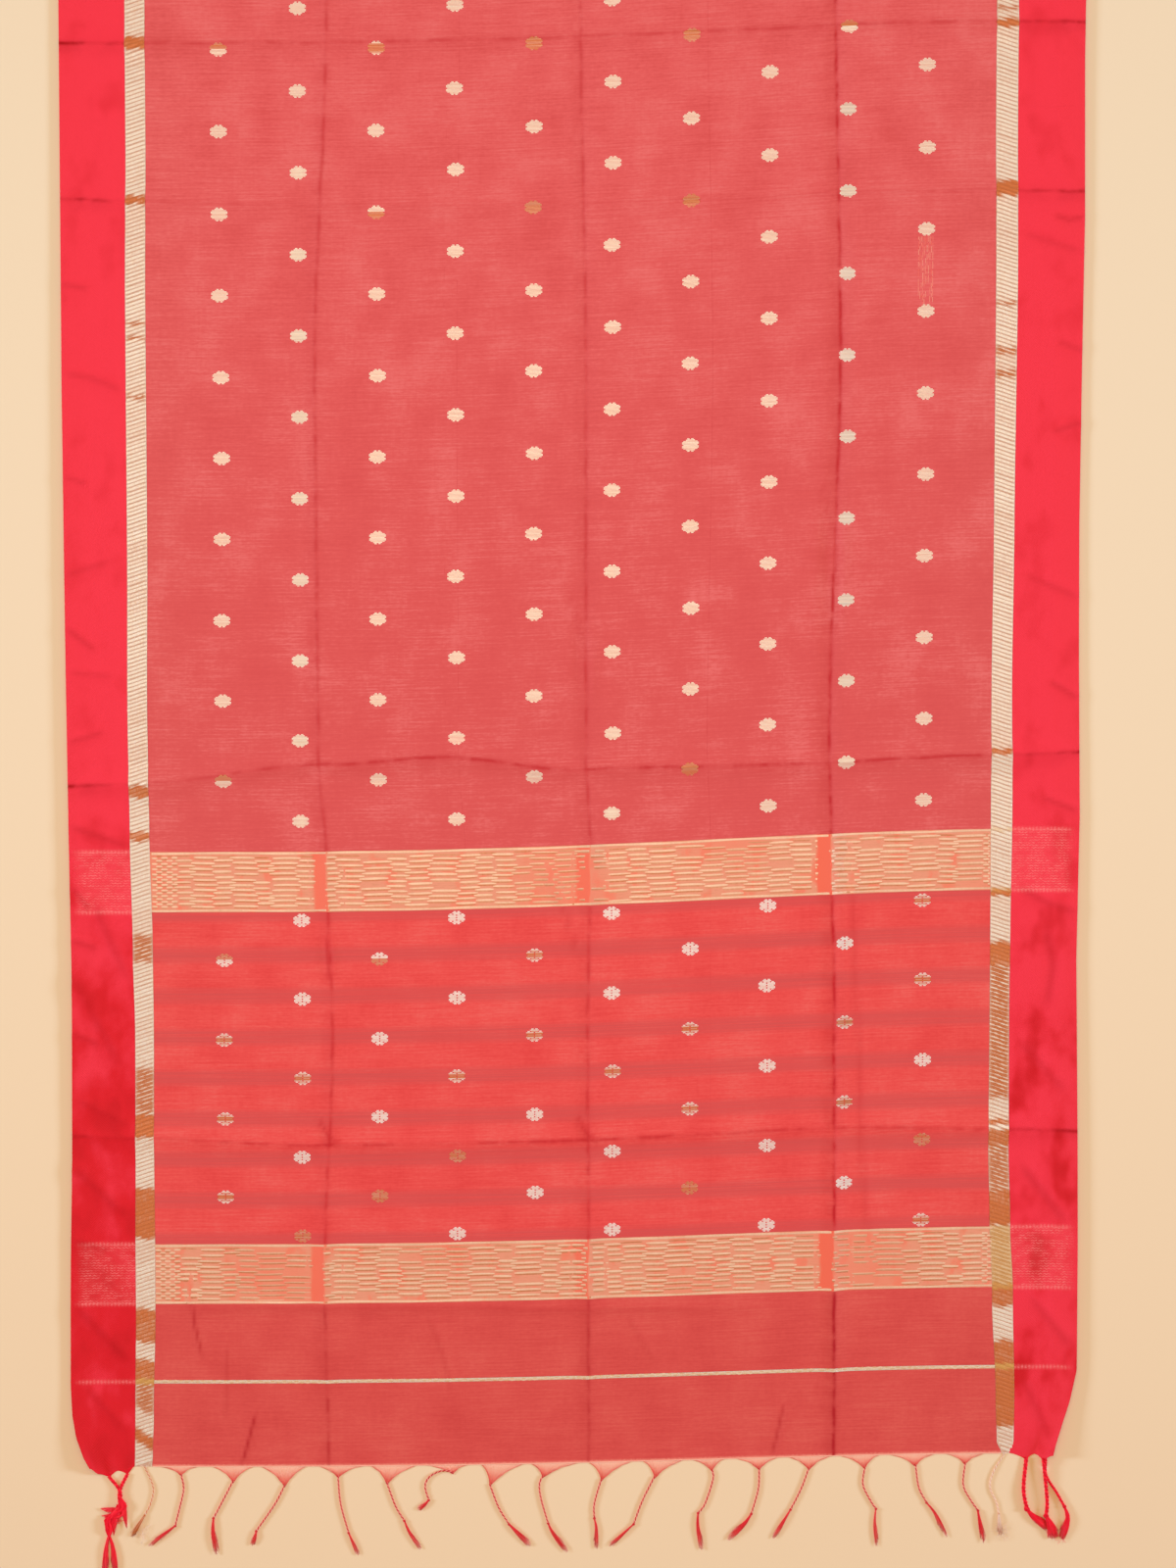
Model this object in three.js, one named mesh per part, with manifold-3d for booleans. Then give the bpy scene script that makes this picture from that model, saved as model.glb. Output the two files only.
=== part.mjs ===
// A silk-cotton saree laid flat, single layer, with its fringed end-piece (pallu) towards -Y.
// Millimetres, +Z up, X across the cloth, Y along it. The origin is the centre of the plan, on the floor.
// "along" is the distance from the hem up the cloth, "across" the distance from its centre line.
import * as THREE from "three";
import { mergeVertices } from "three/addons/utils/BufferGeometryUtils.js";
import Module from "manifold-3d";

const wasm = await Module();
wasm.setup();

// ---- Driving dimensions ----
const LENGTH = 5500; // hem to the plain cut far end
const HALF_WIDTH = 575; // centre line to selvedge
const WALL = 1.2; // thickness of the cloth wall
const SEAM = 0.3; // gap between neighbouring stretches
const ROW_STEP = 260; // longest stretch between two rows of a wall

// Where the cross bands and the gold line lie, along the cloth.
const GOLD_LINE = { start: 96, end: 100 };
const LOWER_BAND = { start: 188, end: 257 };
const UPPER_BAND = { start: 637, end: 706 };

// The weft doesn't run square: it climbs towards the right, more so away from the hem.
const WEFT = { riseAtHem: 15.5, growth: 18.5, relax: 800, reach: 500, bias: 1.5 };

// The zari stripes wander a little, and the right one pinches at the hem.
const STRIPES = [
  { along: 0, leftOuter: -503, leftInner: -483, rightInner: 490.5, rightOuter: 499 },
  { along: 14, leftOuter: -502.5, leftInner: -482, rightInner: 485, rightOuter: 504.5 },
  { along: 60, leftOuter: -501.8, leftInner: -480.5, rightInner: 483.5, rightOuter: 505 },
  { along: 180, leftOuter: -500.2, leftInner: -477.8, rightInner: 478.5, rightOuter: 502.5 },
  { along: 260, leftOuter: -500.2, leftInner: -477.6, rightInner: 475, rightOuter: 498.8 },
  { along: 350, leftOuter: -499.4, leftInner: -478, rightInner: 473, rightOuter: 496.3 },
  { along: 500, leftOuter: -498.7, leftInner: -477.3, rightInner: 473.4, rightOuter: 496 },
  { along: 590, leftOuter: -500.6, leftInner: -477.8, rightInner: 473.6, rightOuter: 496.6 },
  { along: 730, leftOuter: -503.2, leftInner: -480.8, rightInner: 473.4, rightOuter: 498 },
  { along: 870, leftOuter: -504.7, leftInner: -482.2, rightInner: 473.2, rightOuter: 496.6 },
  { along: 1050, leftOuter: -503.7, leftInner: -480.7, rightInner: 474.7, rightOuter: 498 },
  { along: 1330, leftOuter: -503.8, leftInner: -480.9, rightInner: 475.3, rightOuter: 500 },
  { along: 1500, leftOuter: -502, leftInner: -479.4, rightInner: 474, rightOuter: 498.8 },
  { along: LENGTH, leftOuter: -502.4, leftInner: -479.6, rightInner: 473.8, rightOuter: 498.2 },
];

// How far each selvedge draws in. Both curl up at the two hem corners.
const CORNERS = [
  { along: 0, left: 22, right: 27, curl: 6 },
  { along: 12, left: 15, right: 24, curl: 5 },
  { along: 35, left: 6.5, right: 16.5, curl: 3 },
  { along: 60, left: 2, right: 8, curl: 1 },
  { along: 95, left: 0.2, right: 0, curl: 0 },
  { along: 235, left: 1.6, right: 0, curl: 0 },
  { along: 350, left: 4.3, right: 1.1, curl: 0 },
  { along: 560, left: 5.8, right: 4.2, curl: 0 },
  { along: 720, left: 3.7, right: 1.6, curl: 0 },
  { along: 900, left: 2, right: 3.9, curl: 0 },
  { along: 1050, left: 1, right: 4.6, curl: 0 },
  { along: 1230, left: 0, right: 3, curl: 0 },
  { along: 1390, left: 0, right: 1.1, curl: 0 },
  { along: 1560, left: 0, right: 2.6, curl: 0 },
  { along: 1900, left: 0, right: 0, curl: 0 },
];
const BORDER_DIP = { left: 9, right: 5, fade: 45 }; // how far a border sags past the hem of the ground

// The three lengthwise folds, left by keeping the saree folded in four.
const FOLDS = [
  { along: 0, left: -281, middle: 17, right: 298 },
  { along: 230, left: -284, middle: 17, right: 297 },
  { along: 500, left: -274, middle: 16, right: 296 },
  { along: 705, left: -280, middle: 19, right: 292 },
  { along: 812, left: -289, middle: 14, right: 289 },
  { along: 1240, left: -291, middle: 14, right: 300 },
  { along: 1660, left: -276, middle: 8, right: 293 },
  { along: 2400, left: -284, middle: 6, right: 290 },
  { along: 3300, left: -291, middle: 12, right: 297 },
  { along: 4300, left: -282, middle: 16, right: 292 },
  { along: LENGTH, left: -287, middle: 11, right: 295 },
];
const FOLD_HEIGHTS = { left: 3.5, middle: 4, right: 5 };
const FOLD_SPREAD = 20; // how far a lengthwise fold's slope reaches to each side
const FOLD_FADE = 140; // the folds die out over this length above the hem

// The crosswise folds.
const CREASES = [
  { along: 375, height: 3 },
  { along: 795, height: 4.5 },
  { along: 1430, height: 3 },
  { along: 1612, height: 4 },
  { along: 2010, height: 3 },
  { along: 2380, height: 4 },
  { along: 2790, height: 3.5 },
  { along: 3200, height: 4.5 },
  { along: 3570, height: 3 },
  { along: 3990, height: 4 },
  { along: 4370, height: 3.5 },
  { along: 4800, height: 4 },
  { along: 5170, height: 3 },
];
const CREASE_SPREAD = 24; // how far a crosswise fold's slope reaches to each side

// The selvedges lift off the floor a little, unevenly.
const SELVEDGE = { share: 0.6, lift: 3, swing: 1.6, wave: 310 };

// Fringe: a hem strip carries gathered webs, each with a cord, a knot and a flared brush.
const FRINGE_REACH = 125; // the longest brush's tip, below the hem
const STRIP = 2.2; // depth of the hem strip that the fringe grows from
const CLEAR = { web: 0.3, cord: 0.8, knot: 0.3 }; // how high above the floor each starts
const WEB = 1; // thickness of a web
const RADIUS = { cord: 1, knot: 2.2, brushRoot: 0.9, brushTip: 0.6 };
const CORD_STEPS = 4;
const CORD_ROOT = 0.35; // share of a web, from the point where it meets, that its cord is rooted in

// Each ground tassel: its web's two ends on the hem, then where the web meets, the cord runs,
// the knot sits and the brush ends, as [across, drop below the hem's left end].
const TASSELS = [
  { from: -476, to: -427, apex: [-450, 11], cord: [[-447, 26], [-452, 49]], knot: [-457, 69], tip: [-486, 91] },
  { from: -415, to: -365, apex: [-390, 19], cord: [[-407, 49]], knot: [-413, 60], tip: [-410, 100] },
  { from: -359, to: -305, apex: [-331, 24], cord: [[-342, 43]], knot: [-364, 75], tip: [-369, 91] },
  { from: -295, to: -238, apex: [-270, 13], cord: [[-267, 43]], knot: [-258, 77], tip: [-247, 102] },
  { from: -233, to: -179, apex: [-214, 21], cord: [[-204, 46]], knot: [-194, 63], tip: [-176, 95] },
  { from: -174, to: -118, apex: [-138, 9], cord: [[-151, 5], [-165, 12], [-170, 23]],
    knot: [-166, 39], tip: [-178, 50] },
  { from: -106, to: -56, apex: [-96, 23], cord: [[-86, 47]], knot: [-74, 67], tip: [-50, 91] },
  { from: -50, to: 8, apex: [-35, 13], cord: [[-39, 21], [-37, 38]], knot: [-29, 66], tip: [-8, 98] },
  { from: 17, to: 68, apex: [32, 17], cord: [[24, 43]], knot: [24, 60], tip: [26, 95] },
  { from: 79, to: 127, apex: [93, 14], cord: [[79, 40]], knot: [69, 67], tip: [42, 92] },
  { from: 135, to: 175, apex: [159, 6], cord: [[160, 15], [151, 43]], knot: [143, 54], tip: [147, 95] },
  { from: 184, to: 237, apex: [213, 4], cord: [[212, 26]], knot: [204, 55], tip: [178, 84] },
  { from: 245, to: 298, apex: [270, 4], cord: [[261, 26]], knot: [249, 50], tip: [230, 82] },
  { from: 304, to: 352, apex: [334, 3], cord: [[332, 21], [341, 40]], knot: [347, 49], tip: [348, 91] },
  { from: 360, to: 416, apex: [392, 0], cord: [[396, 24]], knot: [405, 42], tip: [428, 80] },
  { from: 424, to: 474, apex: [449, -2], cord: [[447, 21], [455, 38]], knot: [464, 51], tip: [471, 87] },
];

// Strands that hang straight off a strip, by the stretch that they end. A knot may gather two of them.
const STRANDS = {
  zari_left: [{ roots: [-492], cord: [[-482, 24], [-485, 43]], knot: [-492, 57], tip: [-507, 81] }],
  zari_right: [
    { roots: [495], cord: [[484, 1], [478, 17], [479, 29], [485, 41]], knot: [488, 55], tip: [490, 80] },
  ],
  border_left: [{ roots: [-533, -511], cord: [[-520, 28]], knot: [-520, 45], tip: [-532, 124.9] }],
  border_right: [
    { roots: [519], cord: [[516, 26]], knot: [520, 49], tip: [540, 69] },
    { roots: [538], cord: [[543, 38]], knot: [542, 57], tip: [551, 81] },
    { roots: [544], cord: [[555, 26]], knot: [563, 46], tip: [561, 83] },
  ],
};
// A brush's threads: how far each leans from the middle one, in degrees, and its share of the full length.
const BRUSH = [
  { lean: -13, share: 0.82 },
  { lean: -6, share: 0.95 },
  { lean: 0, share: 1 },
  { lean: 7, share: 0.93 },
  { lean: 14, share: 0.8 },
];

const FINISHES = {
  ground: { color: 0xe46160, roughness: 0.75, metalness: 0 },
  pallu: { color: 0xe74e4c, roughness: 0.75, metalness: 0 },
  panel: { color: 0xd84c46, roughness: 0.75, metalness: 0 },
  border: { color: 0xf33745, roughness: 0.5, metalness: 0 },
  zari: { color: 0xebcbb0, roughness: 0.4, metalness: 0.3 },
  band: { color: 0xeba688, roughness: 0.55, metalness: 0.1 },
  fringe: { color: 0xee9682, roughness: 0.8, metalness: 0 },
};

// ---- Shape of the laid cloth ----
const clamp = (value) => Math.min(1, Math.max(0, value));
const ease = (value) => clamp(value) ** 2 * (3 - 2 * clamp(value));
const mix = (a, b, share) => a + (b - a) * share;

// Reads one named column of a table whose rows are sorted by "along".
function read(table, column, along) {
  const next = table.findIndex((row) => row.along >= along);
  if (next === 0) return table[0][column];
  if (next === -1) return table.at(-1)[column];
  const [low, high] = [table[next - 1], table[next]];
  return mix(low[column], high[column], ease((along - low.along) / (high.along - low.along)));
}

// How far the weft has climbed at a place.
function weftRise(across, along) {
  const climb = WEFT.riseAtHem + WEFT.growth * (1 - Math.exp(-Math.max(0, along) / WEFT.relax));
  return climb * ease(clamp((across / WEFT.reach + 1) / 2) ** WEFT.bias);
}

const HEM_Y = (FRINGE_REACH - LENGTH - weftRise(HALF_WIDTH, LENGTH)) / 2;

const selvedge = (side, along) =>
  side === "left" ? -HALF_WIDTH + read(CORNERS, "left", along) : HALF_WIDTH - read(CORNERS, "right", along);

// Share of the way from a border's inner edge to its selvedge: 0 on the ground and the stripes.
function borderShare(across, along) {
  const side = across < 0 ? "left" : "right";
  const inner = read(STRIPES, side + "Outer", along);
  return clamp((across - inner) / (selvedge(side, along) - inner));
}

// Height of a ridge at a distance from its crest.
const ridge = (height, distance, spread) => height * Math.max(0, 1 - Math.abs(distance) / spread);

// Height of the underside of the cloth above the floor.
function lift(across, along) {
  const faded = ease(along / FOLD_FADE);
  const folds = Object.entries(FOLD_HEIGHTS).map(
    ([name, height]) => faded * ridge(height, across - read(FOLDS, name, along), FOLD_SPREAD),
  );
  const creases = CREASES.map((crease) => ridge(crease.height, along - crease.along, CREASE_SPREAD));
  const wave = SELVEDGE.lift + SELVEDGE.swing * Math.sin(along / SELVEDGE.wave + Math.sign(across));
  const outer = clamp((borderShare(across, along) - SELVEDGE.share) / (1 - SELVEDGE.share));
  const edge = outer * (wave + read(CORNERS, "curl", along));
  return Math.max(0, edge, ...folds, ...creases);
}

// The place of a point of the cloth on the floor plan.
function plan(across, along) {
  const dip = across < 0 ? BORDER_DIP.left : BORDER_DIP.right;
  const share = borderShare(across, along);
  const sag = dip * 4 * share * (1 - share) * (1 - ease(along / BORDER_DIP.fade));
  return HEM_Y + along + weftRise(across, along) - sag;
}

// A closed wall of cloth over the named columns and rows; acrossAt places a column at each row.
function clothWall(columns, rows, acrossAt) {
  const wall = new THREE.BoxGeometry(1, 1, 1, columns.length - 1, rows.length - 1, 1);
  const places = wall.attributes.position;
  for (let i = 0; i < places.count; i++) {
    const column = columns[Math.round((places.getX(i) + 0.5) * (columns.length - 1))];
    const along = rows[Math.round((places.getY(i) + 0.5) * (rows.length - 1))];
    const across = acrossAt(column, along);
    const onTop = places.getZ(i) > 0 ? WALL : 0;
    places.setXYZ(i, across, plan(across, along), lift(across, along) + onTop);
  }
  wall.computeVertexNormals();
  return wall;
}

// Rows from one seam to the next, with three rows over each crosswise fold on the way.
function rowsBetween(start, end) {
  const rows = [start, end];
  for (const { along } of CREASES) rows.push(along - CREASE_SPREAD, along, along + CREASE_SPREAD);
  for (const { along } of [...CORNERS, ...STRIPES, ...FOLDS]) rows.push(along);
  const sorted = rows.filter((row) => row >= start && row <= end).sort((a, b) => a - b);
  const kept = sorted.filter((row, i) => {
    const isFold = CREASES.some((crease) => Math.abs(Math.abs(row - crease.along) % CREASE_SPREAD) < 1e-6
      && Math.abs(row - crease.along) <= CREASE_SPREAD);
    const isEnd = row === start || row === end;
    const crowded = i > 0 && row - sorted[i - 1] < 10;
    const nearFold = CREASES.some((crease) => Math.abs(row - crease.along) < 2 * CREASE_SPREAD);
    return isEnd || isFold || (!crowded && !nearFold);
  });
  const filled = [];
  kept.forEach((row, i) => {
    const gap = i ? row - kept[i - 1] : 0;
    const parts = Math.ceil(gap / ROW_STEP);
    for (let part = 1; part < parts; part++) filled.push(kept[i - 1] + (gap * part) / parts);
    filled.push(row);
  });
  return filled.filter((row, i) => i === 0 || row - filled[i - 1] > 1e-6);
}

// ---- The stretches ----
// A ground column lies a share of the way from one anchor to the next, moved by an offset. The anchors
// are the left stripe, the three folds and the right stripe.
function groundAcross({ from, share, offset }, along) {
  const anchors = [
    read(STRIPES, "leftInner", along) + SEAM / 2,
    read(FOLDS, "left", along),
    read(FOLDS, "middle", along),
    read(FOLDS, "right", along),
    read(STRIPES, "rightInner", along) - SEAM / 2,
  ];
  return mix(anchors[from], anchors[Math.min(from + 1, 4)], share) + offset;
}

const groundColumns = [];
for (let from = 0; from < 4; from++) {
  if (from > 0) groundColumns.push({ from, share: 0, offset: -FOLD_SPREAD });
  groundColumns.push({ from, share: 0, offset: 0 });
  if (from > 0) groundColumns.push({ from, share: 0, offset: FOLD_SPREAD });
  groundColumns.push({ from, share: 0.5, offset: 0 });
}
groundColumns.push({ from: 4, share: 0, offset: 0 });

const groundWall = (start, end) =>
  clothWall(groundColumns, rowsBetween(start + SEAM / 2, end - SEAM / 2), groundAcross);

const sideRows = rowsBetween(0, LENGTH);
const stripRows = [-SEAM - STRIP, -SEAM];

// A stripe's columns are shares of its width, from its left edge.
function stripeWall(side, rows) {
  const [first, last] = side === "left" ? ["leftOuter", "leftInner"] : ["rightInner", "rightOuter"];
  return clothWall([0, 1], rows, (share, along) =>
    mix(read(STRIPES, first, along) + SEAM / 2, read(STRIPES, last, along) - SEAM / 2, share),
  );
}

// A border's columns are shares of its width, from its left edge.
function borderWall(side, rows) {
  const shares = [0, 0.3, SELVEDGE.share, 1];
  return side === "left"
    ? clothWall(shares.map((share) => 1 - share).reverse(), rows, (share, along) =>
        mix(selvedge(side, along), read(STRIPES, "leftOuter", along) - SEAM / 2, share))
    : clothWall(shares, rows, (share, along) =>
        mix(read(STRIPES, "rightOuter", along) + SEAM / 2, selvedge(side, along), share));
}

// ---- The fringe ----
const solidOf = (geometry) => {
  const bare = geometry.index ? geometry.toNonIndexed() : geometry.clone();
  bare.deleteAttribute("normal");
  bare.deleteAttribute("uv");
  const merged = mergeVertices(bare, 1e-3);
  return new wasm.Manifold(
    new wasm.Mesh({
      numProp: 3,
      vertProperties: merged.attributes.position.array,
      triVerts: new Uint32Array(merged.index.array),
    }),
  );
};

// Joins closed geometries into one.
function fuse(geometries) {
  const joined = geometries.map(solidOf).reduce((whole, piece) => whole.add(piece)).getMesh();
  const geometry = new THREE.BufferGeometry();
  geometry.setAttribute("position", new THREE.BufferAttribute(joined.vertProperties, 3));
  geometry.setIndex(new THREE.BufferAttribute(joined.triVerts, 1));
  geometry.computeVertexNormals();
  return geometry;
}

const onFloor = ([across, drop], height) => new THREE.Vector3(across, HEM_Y - drop, height);

const CORD_HEIGHT = CLEAR.cord + RADIUS.cord;

// A place over the middle of the hem strip, where a thread is rooted.
const rootAt = (across) =>
  new THREE.Vector3(across, plan(across, -SEAM - STRIP / 2), lift(across, 0) + CORD_HEIGHT);

// The gathered threads between two places on the hem and the point where they meet.
function web({ from, to, apex }) {
  const corners = [rootAt(from), onFloor(apex, 0), rootAt(to)].map(({ x, y }) => new THREE.Vector2(x, y));
  const fan = new THREE.ExtrudeGeometry(new THREE.Shape(corners), { depth: WEB, bevelEnabled: false });
  return fan.translate(0, 0, CLEAR.web);
}

// A four-sided cord along a smooth path.
function cord(path) {
  const { cord: radius } = RADIUS;
  const section = new THREE.Shape([
    new THREE.Vector2(radius, 0),
    new THREE.Vector2(0, radius),
    new THREE.Vector2(-radius, 0),
    new THREE.Vector2(0, -radius),
  ]);
  return new THREE.ExtrudeGeometry(section, {
    steps: CORD_STEPS,
    bevelEnabled: false,
    extrudePath: new THREE.CatmullRomCurve3(path),
  });
}

const UP_THE_CYLINDER = new THREE.Vector3(0, 1, 0);

// A knot, with the threads of its brush fanned out towards the tip.
function knotAndBrush(knot, tip) {
  const head = onFloor(knot, CLEAR.knot + RADIUS.knot);
  const run = onFloor(tip, CLEAR.knot + RADIUS.brushRoot).sub(head);
  const threads = BRUSH.map(({ lean, share }) => {
    const ray = run.clone().applyAxisAngle(new THREE.Vector3(0, 0, 1), THREE.MathUtils.degToRad(lean));
    ray.multiplyScalar(share);
    const thread = new THREE.CylinderGeometry(RADIUS.brushTip, RADIUS.brushRoot, ray.length(), 3);
    const turn = new THREE.Quaternion().setFromUnitVectors(UP_THE_CYLINDER, ray.clone().normalize());
    return thread.applyQuaternion(turn).translate(...head.clone().addScaledVector(ray, 0.5));
  });
  return [new THREE.OctahedronGeometry(RADIUS.knot, 0).translate(...head), ...threads];
}

const cordPath = (start, { cord: middle, knot }) =>
  cord([start, ...middle.map((place) => onFloor(place, CORD_HEIGHT)), onFloor(knot, CORD_HEIGHT)]);

// A ground tassel. Its cord is rooted well inside the web.
function tassel(row) {
  const middle = rootAt((row.from + row.to) / 2).setZ(CORD_HEIGHT);
  const root = onFloor(row.apex, CORD_HEIGHT).lerp(middle, CORD_ROOT);
  return [web(row), cordPath(root, row), ...knotAndBrush(row.knot, row.tip)];
}

const strands = (name) =>
  STRANDS[name].flatMap((row) => [
    ...row.roots.map((root) => cordPath(rootAt(root), row)),
    ...knotAndBrush(row.knot, row.tip),
  ]);

// ---- The saree ----
const saree = new THREE.Group();
function addStretch(name, geometry, finish) {
  const mesh = new THREE.Mesh(geometry, new THREE.MeshStandardMaterial(FINISHES[finish]));
  mesh.name = name;
  saree.add(mesh);
}

addStretch("body_ground", groundWall(UPPER_BAND.end, LENGTH + SEAM / 2), "ground");
addStretch("upper_band", groundWall(UPPER_BAND.start, UPPER_BAND.end), "band");
addStretch("pallu_ground", groundWall(LOWER_BAND.end, UPPER_BAND.start), "pallu");
addStretch("lower_band", groundWall(LOWER_BAND.start, LOWER_BAND.end), "band");
addStretch("panel_above_line", groundWall(GOLD_LINE.end, LOWER_BAND.start), "panel");
addStretch("gold_line", groundWall(GOLD_LINE.start, GOLD_LINE.end), "zari");
addStretch("panel_at_hem", groundWall(-SEAM / 2, GOLD_LINE.start), "panel");
const hemStrip = clothWall(groundColumns, stripRows, groundAcross);
addStretch("fringe_ground", fuse([hemStrip, ...TASSELS.flatMap(tassel)]), "fringe");
for (const side of ["left", "right"]) {
  addStretch("zari_" + side, stripeWall(side, sideRows), "zari");
  addStretch("border_" + side, borderWall(side, sideRows), "border");
  const ends = { zari: stripeWall(side, stripRows), border: borderWall(side, stripRows) };
  for (const [finish, strip] of Object.entries(ends)) {
    addStretch("fringe_" + finish + "_" + side, fuse([strip, ...strands(finish + "_" + side)]), finish);
  }
}

export default saree;
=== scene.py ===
"""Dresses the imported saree: thin cloth shells, woven zari floats, the tassel fringe, floor, light and camera.

Lengths in this file are millimetres and turn into metres where a mesh or an object is placed. A place on the
cloth is given as "across", the distance from its centre line, and "along", the distance from the hem up the
warp. The weft climbs towards the right, so a line of equal "along" isn't quite square to the cloth.
"""

from __future__ import annotations

import logging
import math
import re
import sys
from dataclasses import dataclass, field, replace
from enum import Enum

import bpy
import numpy as np
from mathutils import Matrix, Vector

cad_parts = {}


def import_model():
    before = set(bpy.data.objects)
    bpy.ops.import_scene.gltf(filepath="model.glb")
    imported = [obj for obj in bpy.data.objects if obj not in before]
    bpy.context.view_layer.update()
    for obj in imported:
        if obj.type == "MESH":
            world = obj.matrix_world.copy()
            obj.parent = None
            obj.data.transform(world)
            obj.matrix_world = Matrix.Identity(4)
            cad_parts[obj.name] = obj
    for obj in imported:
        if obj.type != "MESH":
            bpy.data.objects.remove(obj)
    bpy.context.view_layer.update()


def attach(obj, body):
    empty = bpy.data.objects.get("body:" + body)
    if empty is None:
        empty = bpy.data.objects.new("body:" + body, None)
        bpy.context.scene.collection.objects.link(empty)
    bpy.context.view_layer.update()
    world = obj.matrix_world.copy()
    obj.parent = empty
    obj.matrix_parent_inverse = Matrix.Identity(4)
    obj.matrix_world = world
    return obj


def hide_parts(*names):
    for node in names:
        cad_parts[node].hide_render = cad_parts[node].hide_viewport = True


LOG = logging.getLogger("saree")
MM = 0.001

Array = np.ndarray
Colour = tuple[float, float, float]
Place = tuple[float, float]


class Slot(Enum):
    """The record's material slots."""

    GROUND = "ground_weave"
    PALLU = "pallu_weave"
    PANEL = "panel_weave"
    BAND = "band_weave"
    ZARI = "zari_thread"
    BORDER = "border_satin"
    FRINGE = "fringe_thread"


class Side(Enum):
    """The two long sides of the cloth, by the sign of "across"."""

    LEFT = -1
    RIGHT = 1

    @property
    def label(self) -> str:
        """The side's name in the names of nodes and pieces."""
        return self.name.lower()


def rgb(red: int, green: int, blue: int) -> Colour:
    """Turns an 8-bit display colour into linear light.

    Args:
        red: Red, 0 to 255.
        green: Green, 0 to 255.
        blue: Blue, 0 to 255.

    Returns:
        The three linear values.
    """
    shares = [value / 255 for value in (red, green, blue)]
    linear = [share / 12.92 if share < 0.04045 else ((share + 0.055) / 1.055) ** 2.4 for share in shares]
    return (linear[0], linear[1], linear[2])


def ease(value: Array) -> Array:
    """Clamps a share to 0..1 and softens both ends."""
    share = np.clip(value, 0.0, 1.0)
    return share * share * (3 - 2 * share)


# ---------------------------------------------------------------- the shape of the laid cloth


@dataclass(frozen=True)
class Track:
    """A value that changes with a place, such as where a woven line runs.

    Attributes:
        at: The places, rising.
        value: The value at each place.
        straight: Whether the value runs straight from one stated place to the next, and isn't eased.
    """

    at: tuple[float, ...]
    value: tuple[float, ...]
    straight: bool = False

    def read(self, place: Array) -> Array:
        """Reads the value at each place."""
        knots = np.asarray(self.at)
        values = np.asarray(self.value)
        where = np.asarray(place, dtype=float)
        low = np.clip(np.searchsorted(knots, where) - 1, 0, len(knots) - 2)
        share = (where - knots[low]) / (knots[low + 1] - knots[low])
        share = np.clip(share, 0, 1) if self.straight else ease(share)
        return values[low] + (values[low + 1] - values[low]) * share

    def spot(self, place: float) -> float:
        """Reads the value at one place."""
        return float(self.read(np.array(place)))


@dataclass(frozen=True)
class LongFold:
    """A worn fold that runs the length of the cloth.

    Attributes:
        line: Where it runs, by distance above the hem.
        height: How high its crest stands.
        ink: How dark its line is, from the creased cloth and painted shade.
    """

    line: Track
    height: float
    ink: float


@dataclass(frozen=True)
class CrossFold:
    """A worn fold that crosses the cloth.

    Attributes:
        along: Where it lies.
        height: How high its crest stands.
        drift: How far it strays from there, by place across.
        ink: How dark its line is, from the creased cloth and painted shade, by place across.
    """

    along: float
    height: float
    drift: Track
    ink: Track


@dataclass(frozen=True)
class Wrinkle:
    """A short soft ridge of the laid cloth.

    Attributes:
        path: Its points, as (across, along).
        height: How high it stands.
        reach: How far its slope spreads.
        ink: How dark its line is, from the crease and painted shade.
    """

    path: tuple[Place, ...]
    height: float
    reach: float
    ink: float


FOLD_ROWS = (0.0, 230.0, 500.0, 705.0, 812.0, 1240.0, 1660.0, 2400.0, 3300.0, 4300.0, 5500.0)
LONG_FOLDS = (
    LongFold(Track(FOLD_ROWS, (-281, -284, -274, -280, -289, -291, -276, -284, -291, -282, -287)), 3.5, 0.62),
    LongFold(Track(FOLD_ROWS, (17, 17, 16, 19, 14, 14, 8, 6, 12, 16, 11)), 4.0, 0.6),
    LongFold(Track(FOLD_ROWS, (298, 297, 296, 292, 289, 300, 293, 290, 297, 292, 295)), 5.0, 1.0),
)

# Places across at which a crosswise fold's drift and ink are given.
ACROSS_ROWS = (-575.0, -500.0, -285.0, -150.0, 10.0, 290.0, 500.0, 575.0)


def cross_fold(along: float, height: float, drift: tuple[float, ...], ink: tuple[float, ...]) -> CrossFold:
    """Makes a crosswise fold from its values at ACROSS_ROWS."""
    return CrossFold(along, height, Track(ACROSS_ROWS, drift), Track(ACROSS_ROWS, ink))


SHOWN_CROSS_FOLDS = (
    cross_fold(375, 3.0, (6, 4, -5, -5, -5, -2, -8, -10), (0.6, 0.3, 0.7, 0.5, 0.8, 0.5, 0.5, 0.8)),
    cross_fold(795, 4.5, (-15, -12, 9, 15, -4, -9, -6, -3), (1.0, 0.2, 0.8, 0.9, 0.9, 0.9, 0.8, 1.0)),
    cross_fold(1430, 3.0, (9, 7, 2, -2, -5, -9, -12, -13), (1.0, 0.3, 0.25, 0.15, 0.15, 0.2, 0.4, 0.9)),
    cross_fold(1612, 4.0, (0, 0, 0, 0, -2, -5, -7, -8), (1.0, 0.5, 0.6, 0.6, 0.5, 0.6, 0.6, 1.0)),
)
HIDDEN_CROSS_FOLDS = (2010, 2380, 2790, 3200, 3570, 3990, 4370, 4800, 5170)


def hidden_cross_folds() -> tuple[CrossFold, ...]:
    """Makes the folds of the stretch away from the end-piece, each with its own gentle stray."""
    folds = []
    for number, along in enumerate(HIDDEN_CROSS_FOLDS):
        drift = tuple(6 * math.sin(1.7 * number + place / 210) for place in ACROSS_ROWS)
        ink = tuple(0.6 + 0.35 * math.cos(2.3 * number + place / 170) for place in ACROSS_ROWS)
        folds.append(cross_fold(along, 3.0 + 0.5 * (number % 3), drift, ink))
    return tuple(folds)


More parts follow.
